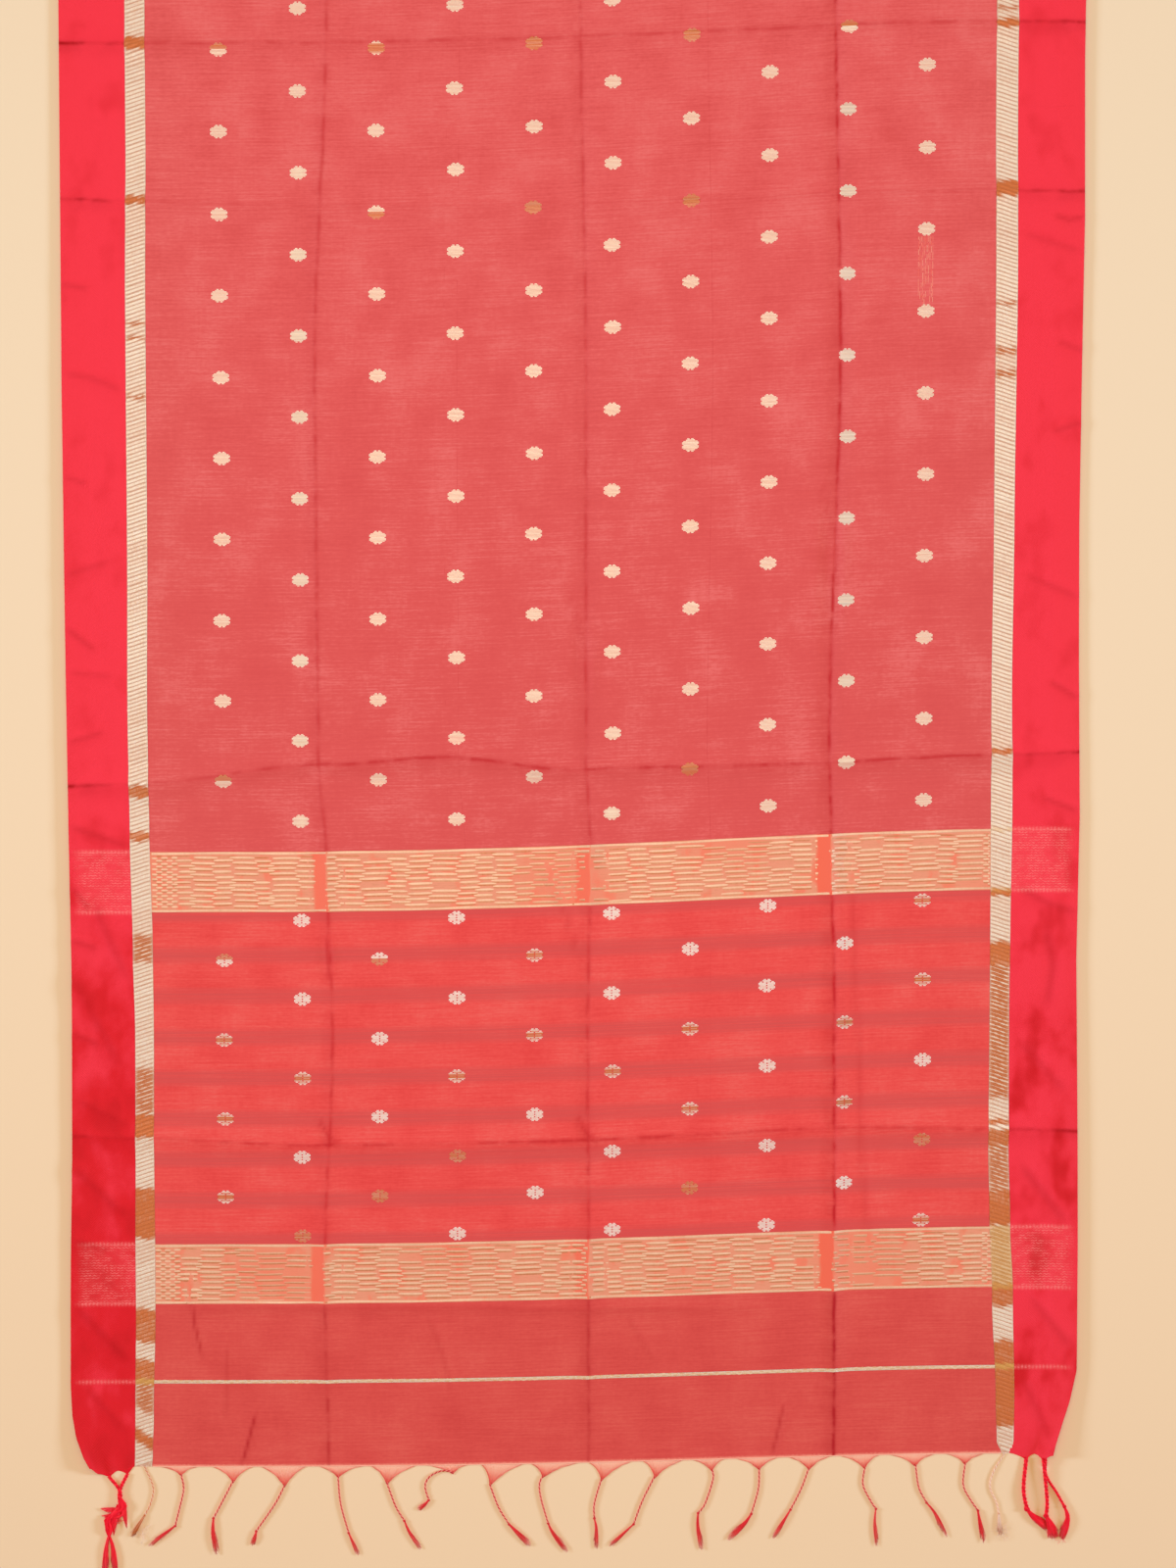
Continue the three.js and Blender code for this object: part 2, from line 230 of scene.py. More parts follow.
WRINKLES = tuple(Wrinkle(*values) for values in (
    # the end panel
    (((-440, 226), (-433, 165), (-424, 124)), 1.2, 5, 0.8),
    (((-396, 144), (-398, 52)), 0.9, 6, 0.35),
    (((-363, 64), (-371, 34), (-380, 2)), 1.6, 5, 1.0),
    (((241, 62), (234, 30), (227, 2)), 1.4, 5, 0.7),
    (((-168, 176), (-150, 130), (-140, 85)), 0.8, 8, 0.25),
    (((-476, 184), (-150, 182), (10, 176), (219, 170)), 1.2, 8, 0.3),
    (((60, 170), (95, 110)), 0.8, 8, 0.2),
    # beside the lengthwise folds
    (((-33, 690), (-12, 640), (6, 578)), 1.8, 9, 0.35),
    (((314, 700), (322, 520), (330, 317), (341, 205)), 1.6, 10, 0.3),
    (((-292, 405), (-278, 380), (-262, 369)), 1.6, 7, 0.6),
    (((2, 402), (14, 380), (30, 366)), 1.6, 7, 0.6),
    (((-280, 612), (-277, 560)), 1.4, 6, 0.7),
    (((-9, 1010), (14, 930), (16, 860)), 1.3, 8, 0.25),
    (((272, 1120), (296, 1040), (298, 930)), 1.3, 8, 0.3),
    # the left border
    (((-575, 1345), (-545, 1340)), 1.5, 9, 0.31),
    (((-574, 1246), (-540, 1240), (-508, 1226)), 1.8, 10, 0.28),
    (((-575, 1130), (-548, 1122)), 1.4, 8, 0.31),
    (((-575, 1018), (-520, 1036)), 1.5, 10, 0.25),
    (((-573, 960), (-540, 934)), 1.6, 9, 0.37),
    (((-571, 910), (-520, 905)), 1.6, 9, 0.25),
    (((-572, 830), (-530, 842)), 1.6, 9, 0.34),
    (((-572, 736), (-505, 712)), 1.8, 10, 0.37),
    (((-570, 668), (-548, 640)), 1.8, 9, 0.4),
    (((-545, 650), (-506, 560)), 2.2, 14, 0.31),
    (((-571, 606), (-540, 596)), 1.6, 9, 0.37),
    (((-572, 570), (-515, 462)), 2.4, 14, 0.31),
    (((-571, 500), (-538, 486)), 1.6, 9, 0.37),
    (((-566, 424), (-505, 392)), 2.0, 10, 0.34),
    (((-573, 350), (-512, 290)), 2.4, 14, 0.37),
    (((-571, 262), (-530, 250)), 1.8, 9, 0.37),
    (((-572, 190), (-505, 118)), 2.6, 14, 0.4),
    (((-560, 96), (-512, 40)), 2.0, 12, 0.31),
    # the right border
    (((540, 1392), (556, 1386), (574, 1389)), 1.6, 8, 0.43),
    (((505, 1372), (572, 1350)), 1.6, 10, 0.25),
    (((545, 1252), (573, 1240)), 1.5, 9, 0.31),
    (((540, 1150), (574, 1162)), 1.5, 9, 0.31),
    (((508, 992), (572, 965)), 1.8, 10, 0.28),
    (((538, 872), (572, 852)), 1.6, 9, 0.37),
    (((530, 742), (572, 726)), 1.6, 9, 0.37),
    (((505, 640), (540, 622), (572, 612)), 2.2, 12, 0.37),
    (((534, 600), (545, 555), (538, 505)), 2.4, 13, 0.34),
    (((505, 470), (560, 410)), 2.0, 14, 0.31),
    (((508, 330), (562, 262)), 2.2, 14, 0.34),
    (((520, 180), (570, 120)), 2.0, 13, 0.31),
    (((512, 90), (545, 20)), 1.8, 13, 0.28),
))


@dataclass(frozen=True)
class LaidCloth:
    """Where every thread of the laid saree is.

    Attributes:
        length: Hem to the plain cut far end.
        half_width: Centre line to selvedge.
        fringe_reach: How far the longest tassel hangs past the hem.
        seam: Gap between neighbouring stretches.
        under: Height of a shell's underside over the cloth's lift.
        thick: Thickness of a shell.
        dip: How far each border sags past the hem of the ground, by its share of the way to the selvedge.
    """

    length: float = 5500.0
    half_width: float = 575.0
    fringe_reach: float = 125.0
    seam: float = 0.06
    under: float = 0.15
    thick: float = 0.5
    rise_at_hem: float = 15.5
    rise_growth: float = 18.5
    rise_relax: float = 800.0
    rise_reach: float = 500.0
    rise_bias: float = 1.5
    fold_spread: float = 20.0
    fold_fade: float = 140.0
    cross_spread: float = 24.0
    selvedge_share: float = 0.6
    selvedge_lift: float = 4.5
    selvedge_swing: float = 1.0
    selvedge_wave: float = 310.0
    dip_fade: float = 45.0
    stripe_outer: dict[Side, Track] = field(default_factory=dict)
    stripe_inner: dict[Side, Track] = field(default_factory=dict)
    corner: dict[Side, Track] = field(default_factory=dict)
    curl: Track = Track((0, 12, 35, 60, 95), (6, 5, 3, 1.2, 0), straight=True)
    dip: dict[Side, Track] = field(default_factory=dict)
    cross_folds: tuple[CrossFold, ...] = SHOWN_CROSS_FOLDS + hidden_cross_folds()

    @staticmethod
    def make() -> "LaidCloth":
        """Lays the cloth with its stripes, corners and dips in place."""
        rows = (0, 14, 60, 180, 260, 350, 500, 590, 730, 870, 1050, 1330, 1500, 5500)
        edges = (0, 12, 35, 60, 95, 235, 350, 560, 720, 900, 1050, 1230, 1390, 1560, 1900)
        return LaidCloth(
            stripe_outer={
                Side.LEFT: Track(rows, (
                    -503, -502.5, -501.8, -500.2, -500.2, -499.4, -498.7,
                    -500.6, -503.2, -504.7, -503.7, -503.8, -502, -502.4,
                )),
                Side.RIGHT: Track(rows, (
                    499, 504.5, 505, 502.5, 498.8, 496.3, 496, 496.6, 498, 496.6, 498, 500, 498.8, 498.2,
                )),
            },
            stripe_inner={
                Side.LEFT: Track(rows, (
                    -483, -482, -480.5, -477.8, -477.6, -478, -477.3,
                    -477.8, -480.8, -482.2, -480.7, -480.9, -479.4, -479.6,
                )),
                Side.RIGHT: Track(rows, (
                    490.5, 485, 483.5, 478.5, 475, 473, 473.4, 473.6, 473.4, 473.2, 474.7, 475.3, 474, 473.8,
                )),
            },
            corner={
                Side.LEFT: Track(
                    edges, (22, 15, 6.5, 2, 0.2, 1.6, 4.3, 5.8, 3.7, 2, 1, 0, 0, 0, 0), straight=True
                ),
                Side.RIGHT: Track(
                    edges, (27, 24, 16.5, 8, 0, 0, 1.1, 4.2, 1.6, 3.9, 4.6, 3, 1.1, 2.6, 0), straight=True
                ),
            },
            dip={
                Side.LEFT: Track((0, 0.16, 0.38, 0.6, 0.8, 1), (0, 8, 5, 11.5, 8, 0)),
                Side.RIGHT: Track((0, 0.41, 0.6, 0.8, 1), (0, 5, 0.8, 5, 0)),
            },
        )

    def weft_rise(self, across: Array, along: Array) -> Array:
        """How far the weft has climbed at a place."""
        climb = self.rise_at_hem + self.rise_growth * (1 - np.exp(-np.maximum(0, along) / self.rise_relax))
        share = np.clip((across / self.rise_reach + 1) / 2, 0, 1)
        return climb * ease(share**self.rise_bias)

    @property
    def hem_y(self) -> float:
        """Where the hem's left end is, so that the whole saree is centred."""
        far_rise = float(self.weft_rise(np.array(self.half_width), np.array(self.length)))
        return (self.fringe_reach - self.length - far_rise) / 2

    def selvedge(self, side: Side, along: Array) -> Array:
        """Where the cloth's outer edge is."""
        return side.value * (self.half_width - self.corner[side].read(along))

    def _by_side(self, across: Array, left: Array, right: Array) -> Array:
        """Takes the left or the right value by the sign of "across"."""
        return np.where(np.asarray(across) < 0, left, right)

    def border_share(self, across: Array, along: Array) -> Array:
        """Share of the way from a border's inner edge to its selvedge, 0 inside it."""
        inner = self._by_side(
            across, self.stripe_outer[Side.LEFT].read(along), self.stripe_outer[Side.RIGHT].read(along)
        )
        outer = self._by_side(across, self.selvedge(Side.LEFT, along), self.selvedge(Side.RIGHT, along))
        return np.clip((across - inner) / (outer - inner), 0, 1)

    def long_gap(self, across: Array, along: Array) -> tuple[Array, Array]:
        """Signed distance to the nearest lengthwise fold, and that fold's ink."""
        gaps = np.stack([across - fold.line.read(along) for fold in LONG_FOLDS])
        nearest = np.abs(gaps).argmin(axis=0)
        inks = np.array([fold.ink for fold in LONG_FOLDS])[nearest]
        return np.take_along_axis(gaps, nearest[None], axis=0)[0], inks

    def cross_gap(self, across: Array, along: Array) -> tuple[Array, Array]:
        """Signed distance to the nearest crosswise fold, and that fold's ink there."""
        gaps = np.stack([along - fold.along - fold.drift.read(across) for fold in self.cross_folds])
        inks = np.stack([fold.ink.read(across) for fold in self.cross_folds])
        nearest = np.abs(gaps).argmin(axis=0)[None]
        return np.take_along_axis(gaps, nearest, axis=0)[0], np.take_along_axis(inks, nearest, axis=0)[0]

    def wrinkles(self, across: Array, along: Array) -> tuple[Array, Array]:
        """Height and ink that the short wrinkles add.

        Args:
            across: Places across.
            along: Places along.

        Returns:
            The height and the ink at each place.
        """
        across, along = np.broadcast_arrays(np.asarray(across, float), np.asarray(along, float))
        height = np.zeros(across.shape)
        ink = np.zeros(across.shape)
        for wrinkle in WRINKLES:
            points = np.array(wrinkle.path, float)
            low = points.min(axis=0) - 3 * wrinkle.reach
            high = points.max(axis=0) + 3 * wrinkle.reach
            near = (across > low[0]) & (across < high[0]) & (along > low[1]) & (along < high[1])
            if not near.any():
                continue
            x, y = across[near], along[near]
            nearest = np.full(x.shape, np.inf)
            strength = np.zeros(x.shape)
            steps = np.linalg.norm(np.diff(points, axis=0), axis=1)
            total, done = steps.sum(), 0.0
            for start, end, step in zip(points[:-1], points[1:], steps):
                run = end - start
                share = np.clip(((x - start[0]) * run[0] + (y - start[1]) * run[1]) / step**2, 0, 1)
                gap = np.hypot(x - start[0] - share * run[0], y - start[1] - share * run[1])
                closer = gap < nearest
                nearest = np.where(closer, gap, nearest)
                travelled = (done + share * step) / total
                strength = np.where(closer, np.minimum(1, 6 * travelled * (1 - travelled) + 0.15), strength)
                done += step
            height[near] += wrinkle.height * strength * np.exp(-((nearest / wrinkle.reach) ** 2) * 1.6)
            line = np.exp(-((nearest / (0.36 * wrinkle.reach)) ** 2))
            ink[near] = np.maximum(ink[near], wrinkle.ink * strength * line)
        return height, ink

    def lift(self, across: Array, along: Array) -> Array:
        """Height of the cloth's underside over the floor."""
        across, along = np.broadcast_arrays(np.asarray(across, float), np.asarray(along, float))
        height = np.zeros(across.shape)
        fade = ease(along / self.fold_fade)
        for fold in LONG_FOLDS:
            share = np.clip(1 - np.abs(across - fold.line.read(along)) / self.fold_spread, 0, 1)
            height = np.maximum(height, fade * fold.height * share**1.5)
        for fold in self.cross_folds:
            gap = np.abs(along - fold.along - fold.drift.read(across))
            share = np.clip(1 - gap / self.cross_spread, 0, 1)
            height = np.maximum(height, fold.height * share**1.5)
        wave = self.selvedge_lift + self.selvedge_swing * np.sin(along / self.selvedge_wave + np.sign(across))
        share = self.border_share(across, along)
        outer = np.clip((share - self.selvedge_share) / (1 - self.selvedge_share), 0, 1)
        edge = outer**1.3 * (wave + self.curl.read(along))
        return np.maximum(height, edge) + self.wrinkles(across, along)[0]

    def place(self, across: Array, along: Array, over: Array | float) -> Array:
        """Turns places on the cloth into points.

        Args:
            across: Places across.
            along: Places along.
            over: Height over the cloth's underside.

        Returns:
            The points, with the last axis holding x, y and z.
        """
        across, along = np.broadcast_arrays(np.asarray(across, float), np.asarray(along, float))
        share = self.border_share(across, along)
        dip = self._by_side(across, self.dip[Side.LEFT].read(share), self.dip[Side.RIGHT].read(share))
        sag = dip * (1 - ease(along / self.dip_fade))
        y = self.hem_y + along + self.weft_rise(across, along) - sag
        return np.stack([across, y, self.lift(across, along) + over], axis=-1)

    @property
    def top(self) -> float:
        """Height of a shell's upper face over the cloth's lift."""
        return self.under + self.thick


# ---------------------------------------------------------------- mesh making


class MeshMaker:
    """Gathers closed pieces into one mesh, with a value for each vertex under each attribute's name."""

    def __init__(self, *attributes: str) -> None:
        """Starts an empty mesh with the named float attributes."""
        self.points: list[Array] = []
        self.faces: list[list[int]] = []
        self.values: dict[str, list[Array]] = {name: [] for name in attributes}
        self.crisp: list[int] = []
        self.count = 0

    def add(self, points: Array, faces: Array | list, rim: int = 0, **values: Array | float) -> None:
        """Adds one piece.

        Args:
            points: Its points in millimetres.
            faces: Its faces, as indices into points.
            rim: How many of its last faces are a rim, which is never shaded smooth.
            **values: A value for each point, or one for all, by attribute.
        """
        flat = np.asarray(points, float).reshape(-1, 3)
        if isinstance(faces, np.ndarray):
            self.faces.extend((faces + self.count).tolist())
        else:
            self.faces.extend([index + self.count for index in face] for face in faces)
        self.crisp.extend(range(len(self.faces) - rim, len(self.faces)))
        self.points.append(flat)
        for name, kept in self.values.items():
            kept.append(np.broadcast_to(np.asarray(values.get(name, 0.0), float).reshape(-1), (len(flat),)))
        self.count += len(flat)

    def shell(self, top: Array, depth: float, inward: bool = False, **values: Array) -> None:
        """Adds a closed shell.

        Args:
            top: The grid of its upper face's points.
            depth: How far its underside is below that.
            inward: Whether the grid's own order would face it inward.
            **values: A value for each point of the grid, by attribute.
        """
        faces = shell_faces(*top.shape[:2])
        self.add(
            np.concatenate([top.reshape(-1, 3), (top - (0.0, 0.0, depth)).reshape(-1, 3)]),
            faces[:, ::-1] if inward else faces,
            rim_length(*top.shape[:2]),
            **{name: np.tile(np.ravel(value), 2) for name, value in values.items()},
        )

    def build(self, name: str, material: bpy.types.Material, smooth: bool = True) -> bpy.types.Object:
        """Makes the Blender object.

        Args:
            name: The piece's name.
            material: Its finish.
            smooth: Whether its faces are shaded smooth.

        Returns:
            The object, linked to the scene.
        """
        mesh = bpy.data.meshes.new(name)
        mesh.from_pydata((np.concatenate(self.points) * MM).tolist(), [], self.faces)
        for label, kept in self.values.items():
            layer = mesh.attributes.new(label, "FLOAT", "POINT")
            layer.data.foreach_set("value", np.concatenate(kept).astype(np.float32))
        shading = np.full(len(mesh.polygons), smooth)
        shading[self.crisp] = False
        mesh.polygons.foreach_set("use_smooth", shading)
        mesh.materials.append(material)
        mesh.update()
        piece = bpy.data.objects.new(name, mesh)
        bpy.context.scene.collection.objects.link(piece)
        return piece


def rim_length(rows: int, columns: int) -> int:
    """How many of a shell's last faces are its rim."""
    return 2 * (rows + columns) - 4


def shell_faces(rows: int, columns: int) -> Array:
    """Faces of a closed shell, whose top grid's points come before its underside's.

    Args:
        rows: Rows of the grid.
        columns: Columns of the grid.

    Returns:
        The quads, facing out, with the rim's last.
    """
    number = np.arange(rows * columns).reshape(rows, columns)
    below = number + rows * columns
    upper = [number[:-1, :-1], number[:-1, 1:], number[1:, 1:], number[1:, :-1]]
    lower = [below[:-1, :-1], below[1:, :-1], below[1:, 1:], below[:-1, 1:]]
    quads = [np.stack(corners, axis=-1).reshape(-1, 4) for corners in (upper, lower)]
    around = np.concatenate([number[0, :-1], number[:-1, -1], number[-1, :0:-1], number[:0:-1, 0]])
    onward = np.roll(around, -1)
    step = rows * columns
    quads.append(np.stack([around, around + step, onward + step, onward], axis=-1))
    return np.concatenate(quads)


BOX_FACES = np.array([[0, 3, 2, 1], [4, 5, 6, 7], [0, 1, 5, 4], [1, 2, 6, 5], [2, 3, 7, 6], [3, 0, 4, 7]])
BAR_INSET = 0.22  # how far a bar's top draws in, as a share of its narrower side
BAR_SUNK = 0.12


def add_loaves(maker: MeshMaker, bars: list[tuple[float, ...]], height: float, **values: Array) -> None:
    """Adds many small rounded bars that lie on the cloth, as a float of thread does.

    Args:
        maker: The mesh that takes them.
        bars: Each bar's low end across and along, then its high end across and along.
        height: How far the bars stand over the shell.
        **values: One value for each bar, by attribute.
    """
    low, high = np.split(np.array(bars), 2, axis=1)
    inset = BAR_INSET * (high - low).min(axis=1)[:, None]
    corners = np.array([[0, 0], [1, 0], [1, 1], [0, 1]])
    pull = 1 - 2 * corners
    rings = []
    for share, over in ((0.0, CLOTH.top - BAR_SUNK), (1.0, CLOTH.top + height)):
        across, along = (
            low[:, None, axis] + (high - low)[:, None, axis] * corners[None, :, axis]
            + share * inset * pull[None, :, axis] for axis in (0, 1)
        )
        rings.append(CLOTH.place(across, along, over))
    faces = (BOX_FACES[None] + 8 * np.arange(len(low))[:, None, None]).reshape(-1, 4)
    values = {"across": low[:, 0], "along": low[:, 1], **values}
    spread = {name: np.repeat(value, 8) for name, value in values.items()}
    maker.add(np.concatenate(rings, axis=1), faces, **spread)


def add_tube(
    maker: MeshMaker, path: Array, radius: Array | float, sides: int, **values: Array | float
) -> None:
    """Adds a closed tube along a path.

    Args:
        maker: The mesh that takes it.
        path: Its points, one row each.
        radius: Its radius, for all points or for each.
        sides: Sides of its section.
        **values: One value for each path point, or one for all, by attribute.
    """
    count = len(path)
    forward = np.gradient(path, axis=0)
    forward /= np.linalg.norm(forward, axis=1, keepdims=True) + 1e-9
    beside = np.cross(forward, (0.0, 0.0, 1.0))
    weak = np.linalg.norm(beside, axis=1) < 0.05
    beside[weak] = (1.0, 0.0, 0.0)
    beside /= np.linalg.norm(beside, axis=1, keepdims=True)
    above = np.cross(beside, forward)
    turn = 2 * np.pi * np.arange(sides) / sides
    radii = np.broadcast_to(np.asarray(radius, float), (count,))[:, None, None]
    ring = np.cos(turn)[None, :, None] * beside[:, None] + np.sin(turn)[None, :, None] * above[:, None]
    points = path[:, None] + radii * ring
    number = np.arange(count * sides).reshape(count, sides)
    after = np.roll(number, -1, axis=1)
    walls = np.stack([number[:-1], number[1:], after[1:], after[:-1]], axis=-1).reshape(-1, 4).tolist()
    caps = [number[0].tolist(), number[-1, ::-1].tolist()]
    spread = {name: np.repeat(np.broadcast_to(value, (count,)), sides) for name, value in values.items()}
    maker.add(points, walls + caps, **spread)


# ---------------------------------------------------------------- finishes

Socket = bpy.types.NodeSocket
Value = Socket | float | Colour


class NodeBoard:
    """The node tree of one material, with short calls for the nodes that the finishes use."""

    def __init__(
        self, name: str, roughness: float, metallic: float = 0.0, sheen: float = 0.0, specular: float = 0.5
    ) -> None:
        """Starts a material.

        Args:
            name: The material's name.
            roughness: Roughness all over.
            metallic: How metallic it is.
            sheen: Weight of the sheen of short fibres.
            specular: Specular level.
        """
        self.material = bpy.data.materials.new(name)
        self.material.use_nodes = True
        self.tree = self.material.node_tree
        self.shader = self.tree.nodes["Principled BSDF"]
        self.shader.inputs["Roughness"].default_value = roughness
        self.shader.inputs["Metallic"].default_value = metallic
        self.shader.inputs["Sheen Weight"].default_value = sheen
        self.shader.inputs["Sheen Roughness"].default_value = 0.4
        self.shader.inputs["Specular IOR Level"].default_value = specular

    def _feed(self, socket: Socket, value: Value) -> None:
        """Links a socket to another, or sets it to a number or a colour."""
        if isinstance(value, bpy.types.NodeSocket):
            self.tree.links.new(value, socket)
        elif isinstance(value, tuple):
            socket.default_value = (*value, 1.0) if socket.type == "RGBA" else value
        else:
            socket.default_value = value

    def attribute(self, name: str) -> Socket:
        """Reads a float attribute of the mesh."""
        node = self.tree.nodes.new("ShaderNodeAttribute")
        node.attribute_name = name
        return node.outputs["Fac"]

    def math(self, operation: str, first: Value, second: Value = 0.0, clamp: bool = False) -> Socket:
        """Works out one sum."""
        node = self.tree.nodes.new("ShaderNodeMath")
        node.operation = operation
        node.use_clamp = clamp
        self._feed(node.inputs[0], first)
        self._feed(node.inputs[1], second)
        return node.outputs[0]

    def times(self, first: Value, second: Value, clamp: bool = False) -> Socket:
        """Multiplies two values."""
        return self.math("MULTIPLY", first, second, clamp)

    def plus(self, first: Value, second: Value, clamp: bool = False) -> Socket:
        """Adds two values."""
        return self.math("ADD", first, second, clamp)

    def scaled(self, value: Value, factor: float, offset: float = 0.0) -> Socket:
        """Multiplies a value and adds an offset."""
        node = self.tree.nodes.new("ShaderNodeMath")
        node.operation = "MULTIPLY_ADD"
        self._feed(node.inputs[0], value)
        node.inputs[1].default_value = factor
        node.inputs[2].default_value = offset
        return node.outputs[0]

    def ramp(self, value: Value, low: float, high: float) -> Socket:
        """Rises smoothly from 0 at low to 1 at high."""
        node = self.tree.nodes.new("ShaderNodeMapRange")
        node.interpolation_type = "SMOOTHSTEP"
        self._feed(node.inputs["Value"], value)
        node.inputs["From Min"].default_value = low
        node.inputs["From Max"].default_value = high
        return node.outputs["Result"]

    def bell(self, value: Value, centre: float, width: float) -> Socket:
        """Peaks at 1 at the centre and falls away over the width."""
        off = self.scaled(value, 1 / width, -centre / width)
        return self.math("EXPONENT", self.times(self.times(off, off), -1.0))

    def noise(self, x: Value, y: Value, detail: float = 2.0, seed: float = 0.0) -> Socket:
        """Reads a noise at a place whose units are the noise's own."""
        where = self.tree.nodes.new("ShaderNodeCombineXYZ")
        self._feed(where.inputs[0], x)
        self._feed(where.inputs[1], y)
        where.inputs[2].default_value = seed
        node = self.tree.nodes.new("ShaderNodeTexNoise")
        node.inputs["Scale"].default_value = 1.0
        node.inputs["Detail"].default_value = detail
        self.tree.links.new(where.outputs[0], node.inputs["Vector"])
        return node.outputs["Fac"]

    def grain(self, across: float, along: float, detail: float, seed: float) -> Socket:
        """Reads a noise over the cloth, with so many of its cells in a millimetre across and along."""
        x = self.scaled(self.attribute("across"), across)
        y = self.scaled(self.attribute("along"), along)
        return self.noise(x, y, detail, seed)

    def mix(self, share: Value, first: Value, second: Value) -> Socket:
        """Mixes two colours."""
        node = self.tree.nodes.new("ShaderNodeMix")
        node.data_type = "RGBA"
        node.clamp_factor = True
        self._feed(node.inputs[0], share)
        self._feed(node.inputs[6], first)
        self._feed(node.inputs[7], second)
        return node.outputs[2]

    def lines(self, place: Value, pitch: float, shift: float = 0.0) -> Socket:
        """A smooth 0 to 1 wave with the given pitch."""
        angle = self.scaled(place, 2 * math.pi / pitch, -2 * math.pi * shift / pitch)
        return self.scaled(self.math("SINE", angle), 0.5, 0.5)

    def finish(self, colour: Value, bump: Value | None = None, depth: float = 0.0002) -> bpy.types.Material:
        """Joins the colour and the bump to the shader.

        Args:
            colour: The base colour.
            bump: A height from 0 to 1.
            depth: How deep that height is, in metres.

        Returns:
            The material.
        """
        self._feed(self.shader.inputs["Base Color"], colour)
        if bump is not None:
            node = self.tree.nodes.new("ShaderNodeBump")
            node.inputs["Strength"].default_value = 1.0
            node.inputs["Distance"].default_value = depth
            self._feed(node.inputs["Height"], bump)
            self.tree.links.new(node.outputs[0], self.shader.inputs["Normal"])
        return self.material


@dataclass(frozen=True)
class WornLines:
    """How folds darken a cloth: partly the creased, doubled cloth, partly painted shade on and beside them.

    Attributes:
        dark: The colour that a fold turns to, where it is creased and where its shade is painted.
    """

    dark: Colour

    def over(self, board: NodeBoard, colour: Value) -> Socket:
        """Draws the folds over a colour.

        Args:
            board: The material's nodes.
            colour: The cloth's colour without folds.

        Returns:
            The colour with folds.
        """
        blotch = board.grain(0.045, 0.045, 3, 7.0)
        uneven = board.scaled(board.ramp(blotch, 0.36, 0.64), 0.85, 0.35)
        wander = board.scaled(board.grain(0.03, 0.03, 2, 11.0), 3.0, -1.5)
        for gap_name, ink_name in (("long_gap", "long_ink"), ("cross_gap", "cross_ink")):
            gap = board.plus(board.attribute(gap_name), wander)
            ink = board.times(board.attribute(ink_name), uneven)
            # Each fold: a narrow darker line, partly the creased, doubled cloth and partly painted shade, and a
            # wider band of painted shade beside it.
            line = board.scaled(board.bell(gap, 0.4, 2.3), 0.74)
            shade = board.scaled(board.bell(gap, -4.5, 8.0), 0.2)
            dark = board.times(board.plus(line, shade), ink)
            colour = board.mix(dark, colour, self.dark)
        # The short wrinkles darken along their crests in the same way: the crease with painted shade.
        return board.mix(board.scaled(board.attribute("wrinkle_ink"), 0.85), colour, self.dark)


@dataclass(frozen=True)
class GroundWeave:
    """Sheer plain weave with slubs that run along the weft.

    Attributes:
        name: The material's name.
        base: The cloth's colour.
        pale: The colour of its pale slubs.
        deep: The colour of its deep slubs.
        worn: How its folds are drawn, darker where the cloth is creased and where shade is painted.
        low: The colour that the base has where the ground is nearer the end-piece, painted darker there as the
            light falls off.
        contrast: How strongly its slubs show.
        hem: The colour of the loose last wefts, or None where the stretch doesn't end at the hem.
        stripe: The colour of the dull weft stripes, or None for a plain ground.
        stripe_at: Where one dull stripe lies along the cloth.
        stripe_pitch: Distance from one dull stripe to the next.
    """

    name: str
    base: Colour
    pale: Colour
    deep: Colour
    worn: WornLines
    low: Colour
    contrast: float = 1.0
    hem: Colour | None = None
    stripe: Colour | None = None
    stripe_at: float = 307.5
    stripe_pitch: float = 46.8

    def make(self) -> bpy.types.Material:
        """Builds the material."""
        board = NodeBoard(self.name, roughness=0.8, sheen=0.05, specular=0.15)
        across, along = board.attribute("across"), board.attribute("along")
        long_slub = board.grain(0.016, 0.5, 4, 1.0)
        short_slub = board.grain(0.16, 0.5, 2, 2.0)
        end_slub = board.grain(0.4, 0.03, 2, 8.0)
        cloud = board.grain(0.018, 0.014, 4, 3.0)
        slub = board.plus(board.scaled(long_slub, 0.45), board.scaled(short_slub, 0.3))
        slub = board.plus(slub, board.scaled(end_slub, 0.08))
        slub = board.plus(slub, board.scaled(cloud, 0.55, -0.19))
        # Painted falloff of light: the body's ground darkens towards the end-piece.
        base = board.mix(board.ramp(along, 1650.0, 780.0), self.base, self.low)
        colour = board.mix(board.scaled(board.ramp(slub, 0.47, 0.72), self.contrast), base, self.pale)
        colour = board.mix(board.scaled(board.ramp(slub, 0.53, 0.3), self.contrast), colour, self.deep)
        if self.stripe is not None:
            wave = board.lines(along, self.stripe_pitch, self.stripe_at - self.stripe_pitch / 4)
            dull = board.ramp(wave, 0.42, 1.0)
            thin = board.scaled(board.grain(0.006, 0.6, 2, 5.0), 1.6, -0.05)
            colour = board.mix(board.times(dull, thin, clamp=True), colour, self.stripe)
        if self.hem is not None:
            fray = board.scaled(board.grain(0.4, 0.4, 2, 6.0), 3.0, -1.5)
            loose = board.ramp(board.plus(along, fray), 3.4, 0.4)
            colour = board.mix(board.scaled(loose, 0.75), colour, self.hem)
        warp, weft = board.lines(across, 0.62), board.lines(along, 0.62)
        thread = board.times(warp, weft)
        colour = board.mix(board.scaled(thread, 0.04), colour, self.deep)
        bump = board.plus(board.scaled(thread, 0.12), slub)
        return board.finish(self.worn.over(board, colour), bump, 0.00006)


